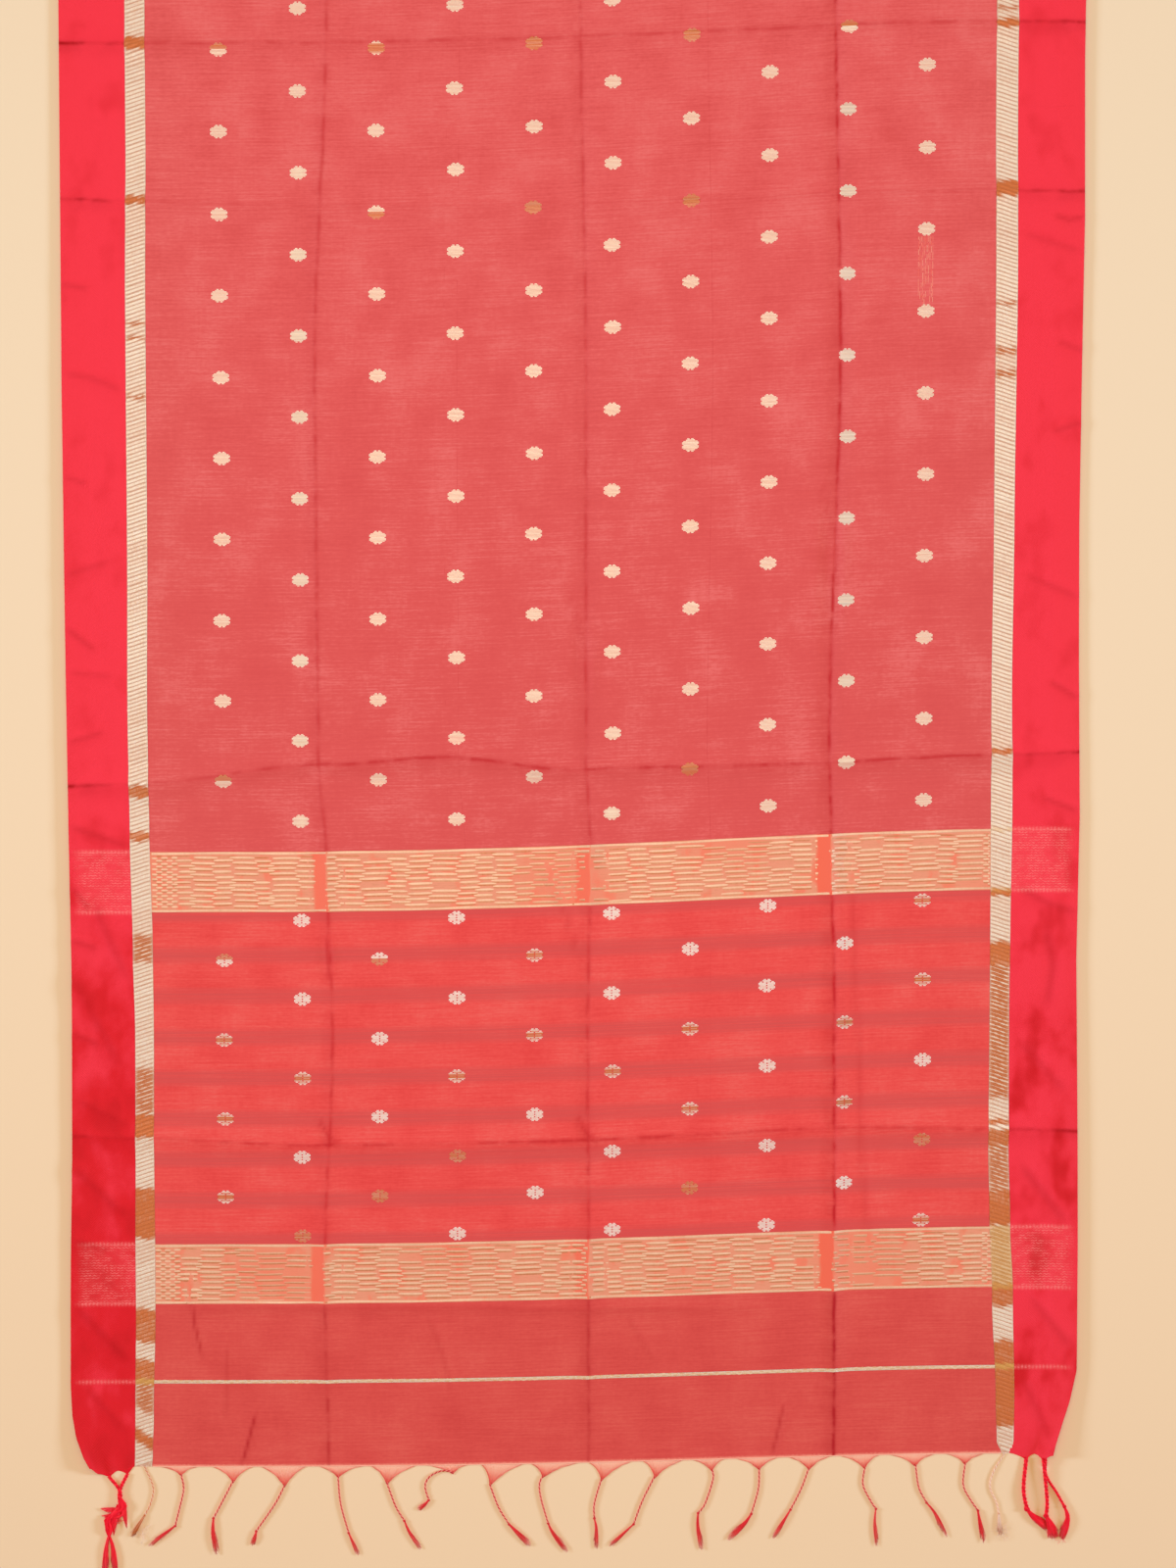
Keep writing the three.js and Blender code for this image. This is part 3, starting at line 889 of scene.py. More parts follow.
@dataclass(frozen=True)
class SatinTwill:
    """Crimson satin with a fine zig-zag twill and faint weft lines where the cross bands pass, its sheen
    painted into the colour.
    """

    name: str
    # bright is the painted sheen's highlight; deep is its painted shade and also the dark fibres of the fine
    # grain.
    bright: Colour
    base: Colour
    deep: Colour
    pink: Colour
    worn: WornLines
    zigzag: float = 20.0
    rib: float = 2.7

    def make(self) -> bpy.types.Material:
        """Builds the material."""
        board = NodeBoard(self.name, roughness=0.6, sheen=0.0, specular=0.12)
        across, along = board.attribute("across"), board.attribute("along")
        zig = board.math("PINGPONG", across, self.zigzag / 2)
        twill = board.lines(board.plus(along, zig), self.rib)
        # Painted sheen: lit rises towards the top of the shown stretch and varies in soft patches, and near the
        # hem the left border is painted darker than the right.
        patch = board.grain(0.026, 0.016, 2, 4.0)
        small = board.grain(0.1, 0.08, 3, 14.0)
        calm = board.ramp(along, 330.0, 860.0)
        blotch = board.times(board.scaled(patch, 1.0, -0.5), board.scaled(calm, -1.5, 2.5))
        side = board.scaled(board.ramp(across, -100.0, 100.0), 0.55, -0.24)
        worn = board.times(board.scaled(calm, -1.0, 1.0), side)
        lit = board.plus(board.scaled(calm, 0.55, 0.36), board.plus(blotch, worn))
        lit = board.plus(lit, board.scaled(small, 0.5, -0.25))
        colour = board.mix(board.ramp(lit, 0.0, 0.95), self.base, self.bright)
        # Painted shade: dim patches that pull the colour towards deep, fading towards the top.
        dim = board.times(board.ramp(patch, 0.47, 0.3), board.scaled(calm, -0.5, 0.65))
        colour = board.mix(dim, colour, self.deep)
        # Painted glint: the twill's ribs turn faintly pink.
        colour = board.mix(board.scaled(twill, 0.05), colour, self.pink)
        grain = board.grain(0.7, 0.7, 3, 6.0)
        colour = board.mix(board.scaled(board.ramp(grain, 0.42, 0.7), 0.22), colour, self.deep)
        edge = board.attribute("edge")
        bands = board.plus(self._band(board, along, LOWER_BAND), self._band(board, along, UPPER_BAND))
        speck = board.ramp(board.grain(0.34, 0.55, 2, 9.0), 0.3, 0.66)
        patchy = board.ramp(board.grain(0.06, 0.12, 3, 19.0), 0.32, 0.62)
        wave = board.scaled(board.math("PINGPONG", across, 2.3), 0.4)
        fine = board.ramp(board.lines(board.plus(along, wave), 2.9), 0.1, 0.95)
        fade = board.ramp(board.plus(edge, board.scaled(patch, 14.0)), 8.0, 24.0)
        pink = board.times(board.times(fine, speck), board.times(patchy, fade))
        pink = board.times(board.scaled(pink, 0.64), bands)
        haze = board.times(board.scaled(bands, 0.08), fade)
        colour = board.mix(board.plus(pink, haze), colour, self.pink)
        bounds = (LOWER_BAND.start, LOWER_BAND.end, UPPER_BAND.start, UPPER_BAND.end)
        for place in (*bounds, GOLD_LINE.start + 2):
            line = board.times(board.bell(along, place, 2.2), fade)
            dotted = board.scaled(board.times(speck, board.lines(across, 4.1)), 0.6, 0.22)
            colour = board.mix(board.times(line, dotted), colour, self.pink)
        return board.finish(self.worn.over(board, colour), board.plus(twill, grain), 0.00012)

    @staticmethod
    def _band(board: NodeBoard, along: Socket, band: "Reach") -> Socket:
        """1 inside a cross band and 0 outside it."""
        after = board.ramp(along, band.start - 1, band.start + 1)
        before = board.ramp(along, band.end + 1, band.end - 1)
        return board.times(after, before)


@dataclass(frozen=True)
class ZariThread:
    """Flat metallic thread, cream, painted copper-brown where it shows a dark reflection or lies in shade, or
    gilt.
    """

    name: str
    cream: Colour
    copper: Colour
    gold: Colour
    shine: float = 0.2
    roughness: float = 0.42

    def make(self) -> bpy.types.Material:
        """Builds the material."""
        board = NodeBoard(self.name, roughness=self.roughness, metallic=self.shine, specular=0.5)
        # The copper share is painted: copper-brown that stands for dark reflections in the metal and for
        # shadows, with painted flecks of reflection.
        turned = board.attribute("copper")
        fleck = board.grain(0.45, 0.9, 3, 1.0)
        turned = board.plus(turned, board.scaled(fleck, 0.5, -0.25), clamp=True)
        colour = board.mix(turned, self.cream, self.copper)
        colour = board.mix(board.attribute("gilt"), colour, self.gold)
        thread = board.lines(board.attribute("along"), 0.55)
        colour = board.mix(board.scaled(thread, 0.1), colour, self.copper)
        return board.finish(colour, board.plus(thread, fleck), 0.00015)


# The two waves whose product makes the bald patches of a cross band: the length of one radian of each.
BALD_WIDE = 53.0
BALD_START = 1.7
BALD_SLANT = 113.0
BALD_TALL = 46.0
BALD_FROM, BALD_FULL = 0.1, 0.9  # where a patch starts, and where it is wholly bald


def baldness(across: float, along: float) -> float:
    """How far the dashes of a cross band give way to its ground, from 0 to 1."""
    patch = math.sin(across / BALD_WIDE + BALD_START) * math.sin(across / BALD_SLANT + along / BALD_TALL)
    return min(1.0, max(0.0, (patch - BALD_FROM) / (BALD_FULL - BALD_FROM)))


@dataclass(frozen=True)
class BandWeave:
    """The salmon ground of a cross band, with orange where the folds cross it."""

    name: str
    salmon: Colour
    orange: Colour
    brown: Colour
    fold: Colour

    def make(self) -> bpy.types.Material:
        """Builds the material."""
        board = NodeBoard(self.name, roughness=0.6, sheen=0.1, specular=0.35)
        across, along = board.attribute("across"), board.attribute("along")
        cloud = board.grain(0.05, 0.03, 3, 2.0)
        colour = board.mix(board.ramp(cloud, 0.5, 0.66), self.salmon, self.orange)
        grain = board.grain(0.1, 0.9, 3, 3.0)
        colour = board.mix(board.scaled(board.ramp(grain, 0.48, 0.7), 0.45), colour, self.brown)
        slanted = board.plus(board.scaled(across, 1 / BALD_SLANT), board.scaled(along, 1 / BALD_TALL))
        level = board.scaled(across, 1 / BALD_WIDE, BALD_START)
        patch = board.times(board.math("SINE", level), board.math("SINE", slanted))
        colour = board.mix(board.scaled(board.ramp(patch, BALD_FROM, BALD_FULL), 0.6), colour, self.orange)
        gap = board.plus(board.attribute("long_gap"), board.scaled(cloud, 9.0, -4.5))
        zone = board.times(board.ramp(gap, -19.0, -13.0), board.ramp(gap, 1.5, -1.5))
        strong = board.scaled(board.attribute("long_ink"), 1.0, 0.25)
        colour = board.mix(board.times(zone, strong, clamp=True), colour, self.fold)
        colour = board.mix(board.scaled(board.attribute("wrinkle_ink"), 0.8), colour, self.fold)
        return board.finish(colour, grain, 0.00015)


@dataclass(frozen=True)
class Yarn:
    """Loose or twisted thread."""

    name: str
    base: Colour
    tint: Colour
    deep: Colour
    roughness: float = 0.8

    def make(self) -> bpy.types.Material:
        """Builds the material, whose "tone" goes from deep at -1 past the base at 0 to the tint at 1."""
        board = NodeBoard(self.name, roughness=self.roughness, specular=0.1)
        tone = board.attribute("tone")
        fibre = board.grain(0.9, 0.5, 2, 1.0)
        share = board.plus(tone, board.scaled(fibre, 0.3, -0.15), clamp=True)
        colour = board.mix(board.scaled(tone, -1.0), board.mix(share, self.base, self.tint), self.deep)
        return board.finish(colour, fibre, 0.0001)


@dataclass(frozen=True)
class Paper:
    """The pale seamless floor, painted warmer and a little darker towards the hem end, as its light falls off.
    """

    name: str
    near: Colour
    far: Colour

    def make(self) -> bpy.types.Material:
        """Builds the material."""
        board = NodeBoard(self.name, roughness=0.9, specular=0.1)
        place = board.tree.nodes.new("ShaderNodeNewGeometry")
        parts = board.tree.nodes.new("ShaderNodeSeparateXYZ")
        board.tree.links.new(place.outputs["Position"], parts.inputs[0])
        # Painted falloff of light across the floor, from the near colour to the far one.
        share = board.ramp(parts.outputs["Y"], -3.0, -1.0)
        grain = board.noise(board.scaled(parts.outputs["X"], 3.0), board.scaled(parts.outputs["Y"], 3.0), 3)
        colour = board.mix(share, self.near, self.far)
        return board.finish(board.mix(board.scaled(grain, 0.06), colour, self.near))


# ---------------------------------------------------------------- the woven stretches


@dataclass(frozen=True)
class Reach:
    """A stretch of the cloth, from one distance above the hem to another."""

    start: float
    end: float

    @property
    def depth(self) -> float:
        """How long the stretch is."""
        return self.end - self.start


CLOTH = LaidCloth.make()
GOLD_LINE = Reach(96, 100)
LOWER_BAND = Reach(188, 257)
UPPER_BAND = Reach(637, 706)
SHOWN_LENGTH = 1720.0  # the stretch that is seen from close by, and gets the finer grid

EDGE = 0.4  # width of a grid's outermost cells, so that its rounded edge stays narrow
NEAR_FOLD = (-24.0, -16.0, -10.0, -6.0, -3.0, -1.2, 0.0, 1.2, 3.0, 6.0, 10.0, 16.0, 24.0)
NEAR_CROSS = (-20.0, -10.0, -4.0, 0.0, 4.0, 10.0, 20.0)
CLOTH_VALUES = ("across", "along", "long_gap", "long_ink", "cross_gap", "cross_ink", "wrinkle_ink", "edge")
# The zari attribute copper is the share of painted copper-brown, which stands for dark reflections in the metal
# and for shadows; gilt is the share of gold weft.
ZARI_VALUES = ("across", "along", "copper", "gilt")


def filled(marks: list[float], step: float) -> list[float]:
    """Fills the gaps between marks with evenly spaced ones.

    Args:
        marks: The marks to keep, rising.
        step: The widest gap to leave.

    Returns:
        All marks, rising.
    """
    out = [marks[0]]
    for low, high in zip(marks[:-1], marks[1:]):
        parts = max(1, math.ceil((high - low) / step - 1e-9))
        out.extend(low + (high - low) * part / parts for part in range(1, parts + 1))
    return out


def rows_between(reach: Reach, step: float, far_step: float) -> Array:
    """Rows of a grid along the cloth, closer over the crosswise folds and in the shown stretch."""
    marks = {reach.start, reach.start + EDGE, reach.end - EDGE, reach.end}
    for fold in CLOTH.cross_folds:
        marks.update(fold.along + offset for offset in NEAR_CROSS)
    if reach.start < SHOWN_LENGTH < reach.end:
        marks.add(SHOWN_LENGTH)
    kept = sorted(mark for mark in marks if reach.start <= mark <= reach.end)
    near = [mark for mark in kept if mark <= SHOWN_LENGTH]
    far = [mark for mark in kept if mark >= SHOWN_LENGTH]
    rows = filled(near, step) if near else []
    if near and far and near[-1] == far[0]:
        rows = rows[:-1]
    return np.array(rows + filled(far, far_step) if far else rows)


def sheet_mesh(name: str, across: Array, rows: Array, material: bpy.types.Material) -> bpy.types.Object:
    """Makes a closed thin shell of cloth.

    Args:
        name: The piece's name.
        across: Place across of each grid point, rows first.
        rows: Place along of each row.
        material: Its finish.

    Returns:
        The piece.
    """
    along = np.broadcast_to(rows[:, None], across.shape)
    top = CLOTH.place(across, along, CLOTH.top)
    ink = CLOTH.wrinkles(across, along)[1]
    edge = np.minimum(*(np.abs(across - CLOTH.selvedge(side, along)) for side in Side))
    folds = (*CLOTH.long_gap(across, along), *CLOTH.cross_gap(across, along))
    maker = MeshMaker(*CLOTH_VALUES)
    maker.shell(top, CLOTH.thick, **dict(zip(CLOTH_VALUES, (across, along, *folds, ink, edge))))
    return maker.build(name, material)


def dress(piece: bpy.types.Object, slot: Slot, *nodes: str) -> bpy.types.Object:
    """Rides a piece on the saree and lets it stand for its nodes."""
    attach(piece, "root")
    if nodes:
        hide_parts(*nodes)
    LOG.info("%s: %d faces", piece.name, len(piece.data.polygons))
    return piece


@dataclass
class GroundStretch:
    """A stretch of the ground between the two zari stripes.

    Attributes:
        node: The node it stands for.
        reach: Where it lies.
        slot: Its material slot.
        finish: Its finish.
        cell: Width of a grid cell across.
        step: Length of a grid cell along.
        far_step: The same where the cloth is seen only from afar.
    """

    node: str
    reach: Reach
    slot: Slot
    finish: bpy.types.Material
    cell: float
    step: float
    far_step: float = 26.0

    def anchors(self, along: Array) -> Array:
        """The left stripe, the three lengthwise folds and the right stripe."""
        half_seam = CLOTH.seam / 2
        lines = [CLOTH.stripe_inner[Side.LEFT].read(along) + half_seam]
        lines += [fold.line.read(along) for fold in LONG_FOLDS]
        lines.append(CLOTH.stripe_inner[Side.RIGHT].read(along) - half_seam)
        return np.stack(lines, axis=-1)

    def across(self, rows: Array) -> Array:
        """Place across of each grid point, so that a column runs up each fold."""
        lines = self.anchors(rows)
        clear = NEAR_FOLD[-1]
        columns = []
        for number in range(4):
            low = lines[:, number] + (clear if number else 0.0)
            high = lines[:, number + 1] - (clear if number < 3 else 0.0)
            parts = max(1, round(float(np.mean(high - low)) / self.cell))
            first = 1 if number else 0
            last = parts if number < 3 else parts + 1
            columns += [low + (high - low) * part / parts for part in range(first, last)]
            if number < 3:
                columns += [lines[:, number + 1] + offset for offset in NEAR_FOLD]
        columns[1:1] = [columns[0] + EDGE]
        columns[-1:-1] = [columns[-1] - EDGE]
        return np.stack(columns, axis=-1)

    def make(self) -> bpy.types.Object:
        """Makes and dresses the stretch."""
        half_seam = CLOTH.seam / 2
        inside = Reach(self.reach.start + half_seam, self.reach.end - half_seam)
        rows = rows_between(inside, self.step, self.far_step)
        piece = sheet_mesh(self.node + "_cloth", self.across(rows), rows, self.finish)
        return dress(piece, self.slot, self.node)

    def build(self, on_it: list[bpy.types.Object]) -> bpy.types.Object:
        """Args:
            on_it: The pieces woven into it or tied to it. Not used.

        Returns:
            The piece.
        """
        piece = self.make()
        lines = self.anchors(np.array([self.reach.start, self.reach.end]))
        return piece


RIDGE_SUNK = 0.18


def add_ridges(
    maker: MeshMaker, middle: tuple[Array, Array], half: Array, height: Array | float, **values: Array
) -> None:
    """Adds rounded ridges that lie on the cloth.

    Args:
        maker: The mesh that takes them.
        middle: Places across and along of each ridge's centre line, a row for each ridge.
        half: Half its width there.
        height: How far its crest stands over the shell, for all ridges or for each.
        **values: A value for each ridge, by attribute.
    """
    across, along = middle
    rails = []
    for spread, over in ((-1.0, -RIDGE_SUNK), (-0.62, height), (0.62, height), (1.0, -RIDGE_SUNK)):
        rails.append(CLOTH.place(across, along - spread * half, CLOTH.top + over))
    points = np.stack(rails, axis=2)
    count, steps = across.shape
    number = np.arange(steps * 4).reshape(steps, 4)
    after = np.roll(number, -1, axis=1)
    walls = np.stack([number[1:], after[1:], after[:-1], number[:-1]], axis=-1).reshape(-1, 4)
    faces = np.concatenate([walls, [number[0], number[-1, ::-1]]])
    every = (faces[None] + steps * 4 * np.arange(count)[:, None, None]).reshape(-1, 4)
    given = {"across": across, "along": along}
    for name, value in values.items():
        given[name] = np.broadcast_to(value if np.ndim(value) == 2 else value[:, None], across.shape)
    maker.add(points, every, **{name: np.repeat(value.ravel(), 4) for name, value in given.items()})


Stretches = tuple[tuple[float, float, float], ...]


def blended(along: Array, stretches: Stretches, soft: float) -> Array:
    """Reads how strong an effect is along the cloth.

    Args:
        along: The places.
        stretches: Each stretch's start, end and strength. Where two meet, the later one shows.
        soft: How long each end's fade is.

    Returns:
        The strength at each place.
    """
    strength = np.zeros(np.shape(along))
    for start, end, amount in stretches:
        fade = min(soft, end - start)
        inside = ease((along - start + fade / 2) / fade) * ease((end + fade / 2 - along) / fade)
        strength = strength + (amount - strength) * inside
    return strength


@dataclass
class ZariStripe:
    """The ribbed metallic stripe along one side of the ground.

    Attributes:
        side: Which side.
        finish: Its finish.
        turned: The stretches whose thread has a painted copper-brown reflection, with how strong it is.
        gilt: The stretches that a golden weft crosses, with how strongly it shows.
        pitch: Distance from rib to rib.
        slope: How far a rib climbs across the stripe, as a share of its width.
        height: How far a rib stands over the shell.
        slant: How far a stretch of painted reflection at the hem drops from the left edge to the right one.
        sunk: How far the strip lies below the top of the shells beside it.
    """

    side: Side
    finish: bpy.types.Material
    turned: Stretches
    gilt: Stretches
    pitch: float = 4.6
    slope: float = 0.3
    height: float = 0.2
    slant: float = 0.0
    sunk: float = 0.06

    def edges(self, along: Array) -> tuple[Array, Array]:
        """The stripe's left and right edges."""
        inner, outer = CLOTH.stripe_inner[self.side].read(along), CLOTH.stripe_outer[self.side].read(along)
        low, high = (outer, inner) if self.side is Side.LEFT else (inner, outer)
        return low + CLOTH.seam / 2, high - CLOTH.seam / 2

    def turn(self, share: Array, along: Array) -> Array:
        """How strong the painted copper-brown reflection is, from 0 to 1, by the share of the width from the
        left edge.
        """
        drop = self.slant * (share - 0.5) * np.exp(-along / 80.0)
        return blended(along + drop + 1.3 * np.sin(8.0 * share + along / 4.0), self.turned, 6.0)

    def base(self) -> bpy.types.Object:
        """Makes the woven strip that the ribs lie on."""
        rows = rows_between(Reach(0, CLOTH.length), 4.0, 14.0)
        low, high = self.edges(rows)
        shares = np.array([0.0, 0.06, 0.14, 0.5, 0.86, 0.94, 1.0])
        across = low[:, None] + (high - low)[:, None] * shares
        along = np.broadcast_to(rows[:, None], across.shape)
        top = CLOTH.place(across, along, CLOTH.top - self.sunk)
        # Painted shade: the strip turns copper-brown in the grooves between the ribs, most in the stripe's
        # middle; the painted reflection is added on top.
        groove = np.array([0.12, 0.3, 0.5, 0.54, 0.5, 0.3, 0.12])
        maker = MeshMaker(*ZARI_VALUES)
        copper = groove + 0.8 * self.turn(shares[None], along)
        gilt = blended(along, self.gilt, 2.0)
        maker.shell(top, CLOTH.thick - self.sunk, across=across, along=along, copper=copper, gilt=gilt)
        return maker.build(f"zari_{self.side.label}_strip", self.finish)

    def ribs(self) -> bpy.types.Object:
        """Makes the slanted floats of metallic thread."""
        draw = np.random.default_rng(11 + self.side.value)
        centres = np.arange(self.pitch, CLOTH.length - self.pitch, self.pitch)
        centres = centres + draw.uniform(-0.3, 0.3, len(centres))
        shares = np.linspace(0, 1, 7)
        low, high = self.edges(centres)
        width = (high - low)[:, None]
        ragged = draw.uniform(0.0, 0.7, (len(centres), 2))
        across = low[:, None] + ragged[:, :1] + (width - ragged.sum(axis=1, keepdims=True)) * shares
        climb = 0.35 * ease(shares) + 0.65 * shares - 0.5
        along = centres[:, None] - self.side.value * self.slope * width * climb
        # turn: how strong the painted copper-brown reflection is at each point of a rib.
        turn = self.turn(shares[None], along)
        mixed = np.clip(1 - np.abs(turn - 0.5) * 2.6, 0, 1)
        half = self.pitch * (0.41 - 0.2 * mixed) * draw.uniform(0.9, 1.08, (len(centres), 1))
        broken = 1 - 0.75 * mixed * (draw.random(across.shape) < 0.45)
        taper = (0.86 + 0.14 * np.sin(np.pi * shares)) * half * broken
        drift = 0.06 * np.sin(centres / 31.0) + 0.05 * np.sin(centres / 9.7)
        drift = drift + draw.uniform(-0.03, 0.12, len(centres))
        tint = np.where(turn > 0.62, turn - 0.04, turn * 0.35) + drift[:, None]
        tint = tint + draw.uniform(-0.05, 0.05, across.shape)
        maker = MeshMaker(*ZARI_VALUES)
        gilt = blended(along, self.gilt, 2.0)
        add_ridges(maker, (across, along), taper, self.height, copper=tint, gilt=gilt)
        return maker.build(f"zari_{self.side.label}_ribs", self.finish, smooth=False)

    def build(self, strands: bpy.types.Object) -> None:
        """Args:
            strands: The strands off its end. Not used.
        """
        strip, ribs = self.base(), self.ribs()
        dress(strip, Slot.ZARI, f"zari_{self.side.label}")
        dress(ribs, Slot.ZARI)
        low, high = self.edges(np.linspace(0, CLOTH.length, 50))


@dataclass
class Border:
    """The satin border along one selvedge."""

    side: Side
    finish: bpy.types.Material
    cell: float = 3.0

    def build(self, strands: bpy.types.Object) -> None:
        """Args:
            strands: The strands off its corner. Not used.
        """
        half_seam = CLOTH.seam / 2
        rows = rows_between(Reach(0, CLOTH.length), 3.6, 16.0)
        inner = CLOTH.stripe_outer[self.side].read(rows) + self.side.value * half_seam
        outer = CLOTH.selvedge(self.side, rows)
        low, high = (outer, inner) if self.side is Side.LEFT else (inner, outer)
        parts = round(float(np.mean(high - low)) / self.cell)
        across = low[:, None] + (high - low)[:, None] * np.linspace(0, 1, parts + 1)[None]
        edges = across[:, :1], across[:, :1] + EDGE, across[:, 1:-1], across[:, -1:] - EDGE, across[:, -1:]
        across = np.concatenate(edges, axis=1)
        piece = sheet_mesh(f"border_{self.side.label}_cloth", across, rows, self.finish)
        dress(piece, Slot.BORDER, f"border_{self.side.label}")


@dataclass
class CrossBand:
    """A zari cross band: lens-like dashes of cream thread over a salmon ground, between two solid lines.

    Attributes:
        node: The node it stands for.
        reach: Where it lies.
        ground: Finish of the ground.
        thread: Finish of the thread.
        seed: Start of its random draws.
        rows: Rows of dashes.
        line: Height of each solid line.
        bare: The stretch beside an outer lengthwise fold that has no dashes, from the fold.
    """

    node: str
    reach: Reach
    ground: bpy.types.Material
    thread: bpy.types.Material
    seed: int
    rows: int = 10
    line: float = 3.2
    bare: tuple[float, float] = (-15.0, -1.0)

    def columns(self, left: float, right: float, draw: np.random.Generator) -> list[float]:
        """Edges of the columns of dashes, which are narrow beside the stripes."""
        edges = [left]
        while edges[-1] < right:
            near = min(edges[-1] - left, right - edges[-1])
            wide = draw.uniform(17, 33) if near > 27 else draw.uniform(5.2, 6.2)
            edges.append(edges[-1] + wide)
        edges[-1] = right
        return edges

    def dashes(self) -> bpy.types.Object:
        """Makes the dashes, staggered from column to column, each with a thin brown bar below it as a painted
        shadow.
        """
        draw = np.random.default_rng(self.seed)
        left = CLOTH.stripe_inner[Side.LEFT].spot(self.reach.start) + 0.4
        right = CLOTH.stripe_inner[Side.RIGHT].spot(self.reach.start) - 0.4
        pitch = (self.reach.depth - 2 * self.line - 1.4) / self.rows
        edges = self.columns(left, right, draw)
        folds = [LONG_FOLDS[end].line.spot(self.reach.start) for end in (0, -1)]
        bars = []
        for column, (low, high) in enumerate(zip(edges[:-1], edges[1:])):
            fine = high - low < 8
            faint = 0.0 if fine else draw.uniform(0.0, 0.1)
            for row in range(self.rows + column % 2):
                centre = self.reach.start + self.line + 0.7 + (row + 0.5 - 0.5 * (column % 2)) * pitch
                centre += draw.uniform(-0.25, 0.25) + 0.5 * math.sin(low / 31 + row)
                shift = 0.0 if fine else 3.0 * math.sin(1.1 * row + 0.21 * low)
                start, end = max(left, low + shift - 0.8), min(right, high + shift + 0.8)
                for fold in folds:
                    first, last = fold + self.bare[0], fold + self.bare[1]
                    if start < last and first < end:
                        if start + end < first + last:
                            end = min(end, first + draw.uniform(-2.0, 1.5))
                        else:
                            start = max(start, last + draw.uniform(-2.5, 0.5))
                thin = 0.0 if fine else baldness((start + end) / 2, centre)
                if draw.random() < max(faint, 0.2 * thin) or end - start < 2:
                    continue
                half = 1.35 if fine else draw.uniform(1.3, 1.75) * (1 - 0.45 * thin)
                room = self.reach.depth / 2 - self.line - half
                if abs(centre - (self.reach.start + self.reach.end) / 2) < room:
                    bars.append((start, end, centre, half, draw.uniform(0.0, 0.14) + 0.25 * thin))
                # Painted shadow: a thin copper-brown bar just below each dash.
                if not fine or draw.random() < 0.7:
                    bars.append((start + 0.6, end - 0.6, centre - half - 0.4, 1.1, draw.uniform(0.7, 1.0)))
        start, end, centre, half, turned = np.array(bars).T
        lying = draw.uniform(0.08, 0.16, len(bars)) - 0.06 * (turned > 0.6)
        shares = np.array([0.0, 0.18, 0.5, 0.82, 1.0])
        swell = np.array([0.5, 0.94, 1.0, 0.94, 0.5])
        across = start[:, None] + (end - start)[:, None] * shares
        sag = 0.25 * np.sin(across / 9.0)
        maker = MeshMaker(*ZARI_VALUES)
        middle = across, centre[:, None] + sag
        add_ridges(maker, middle, half[:, None] * swell, lying[:, None], copper=turned)
        places = np.linspace(left - 0.4, right + 0.4, 160)[None]
        for middle in (self.reach.start + 0.3 + self.line / 2, self.reach.end - 0.3 - self.line / 2):
            sway = middle + 0.35 * np.sin(places / 23.0)
            uneven = self.line / 2 * (0.9 + 0.12 * np.sin(places / 11.0))
            tint = 0.04 + 0.08 * (1 + np.sin(places / 17.0))
            add_ridges(maker, (places, sway), uneven, 0.26, copper=tint)
        return maker.build(self.node + "_dashes", self.thread, smooth=False)

    def build(self) -> None:
        dashes = dress(self.dashes(), Slot.ZARI)
        GroundStretch(self.node, self.reach, Slot.BAND, self.ground, cell=5.0, step=5.0).build([dashes])


@dataclass
class GoldLine:
    """The single gold weft line of the end panel."""

    finish: bpy.types.Material
    twist: float = 13.0

    def build(self) -> list[bpy.types.Object]:
        """Makes and dresses the line's weave and its thread.

        Returns:
            Both pieces.
        """
        weave = GroundStretch("gold_line", GOLD_LINE, Slot.ZARI, self.finish, cell=5.0, step=1.2).make()
        left = CLOTH.stripe_inner[Side.LEFT].spot(GOLD_LINE.start) + 0.3
        right = CLOTH.stripe_inner[Side.RIGHT].spot(GOLD_LINE.start) - 0.3
        places = np.linspace(left, right, 500)[None]
        maker = MeshMaker(*ZARI_VALUES)
        for start, tint, gilt in ((0.0, 0.06, 0.3), (math.pi, 0.3, 0.45)):
            turn = 2 * math.pi * places / self.twist + start + 0.8 * np.sin(places / 37.0)
            middle = (GOLD_LINE.start + GOLD_LINE.end) / 2 + 0.5 * np.sin(places / 41.0) + 0.75 * np.cos(turn)
            wide = 1.25 + 0.2 * np.sin(places / 13.0)
            add_ridges(
                maker, (places, middle), wide, 0.22 + 0.1 * math.cos(start),
                copper=tint + 0.08 * np.sin(places / 19.0), gilt=np.full(places.shape, gilt),
            )
        return [weave, dress(maker.build("gold_line_thread", self.finish, smooth=False), Slot.ZARI)]


# ---------------------------------------------------------------- the woven flowers


class Turn(Enum):
    """Which part of a flower's thread has a painted copper-brown reflection."""

    NONE = "none"
    UPPER = "upper"
    LOWER = "lower"
    CENTRE = "centre"
    WHOLE = "whole"


# Flowers of the end-piece with a painted copper-brown reflection, by column from the left and row from the hem,
# then those of the body.
PALLU_TURNS = {
    (0, 3): Turn.UPPER, (2, 3): Turn.LOWER, (4, 3): Turn.CENTRE, (9, 4): Turn.CENTRE, (0, 2): Turn.CENTRE,
    (4, 2): Turn.CENTRE, (6, 1): Turn.CENTRE, (8, 1): Turn.CENTRE, (9, 1): Turn.WHOLE, (3, 1): Turn.WHOLE,
    (0, 0): Turn.CENTRE, (2, 0): Turn.WHOLE, (6, 0): Turn.WHOLE, (1, 0): Turn.WHOLE, (9, 0): Turn.CENTRE,
    (3, 2): Turn.CENTRE, (5, 2): Turn.CENTRE, (1, 2): Turn.CENTRE, (9, 3): Turn.CENTRE, (6, 2): Turn.CENTRE,
    (0, 1): Turn.CENTRE, (8, 2): Turn.CENTRE,
}
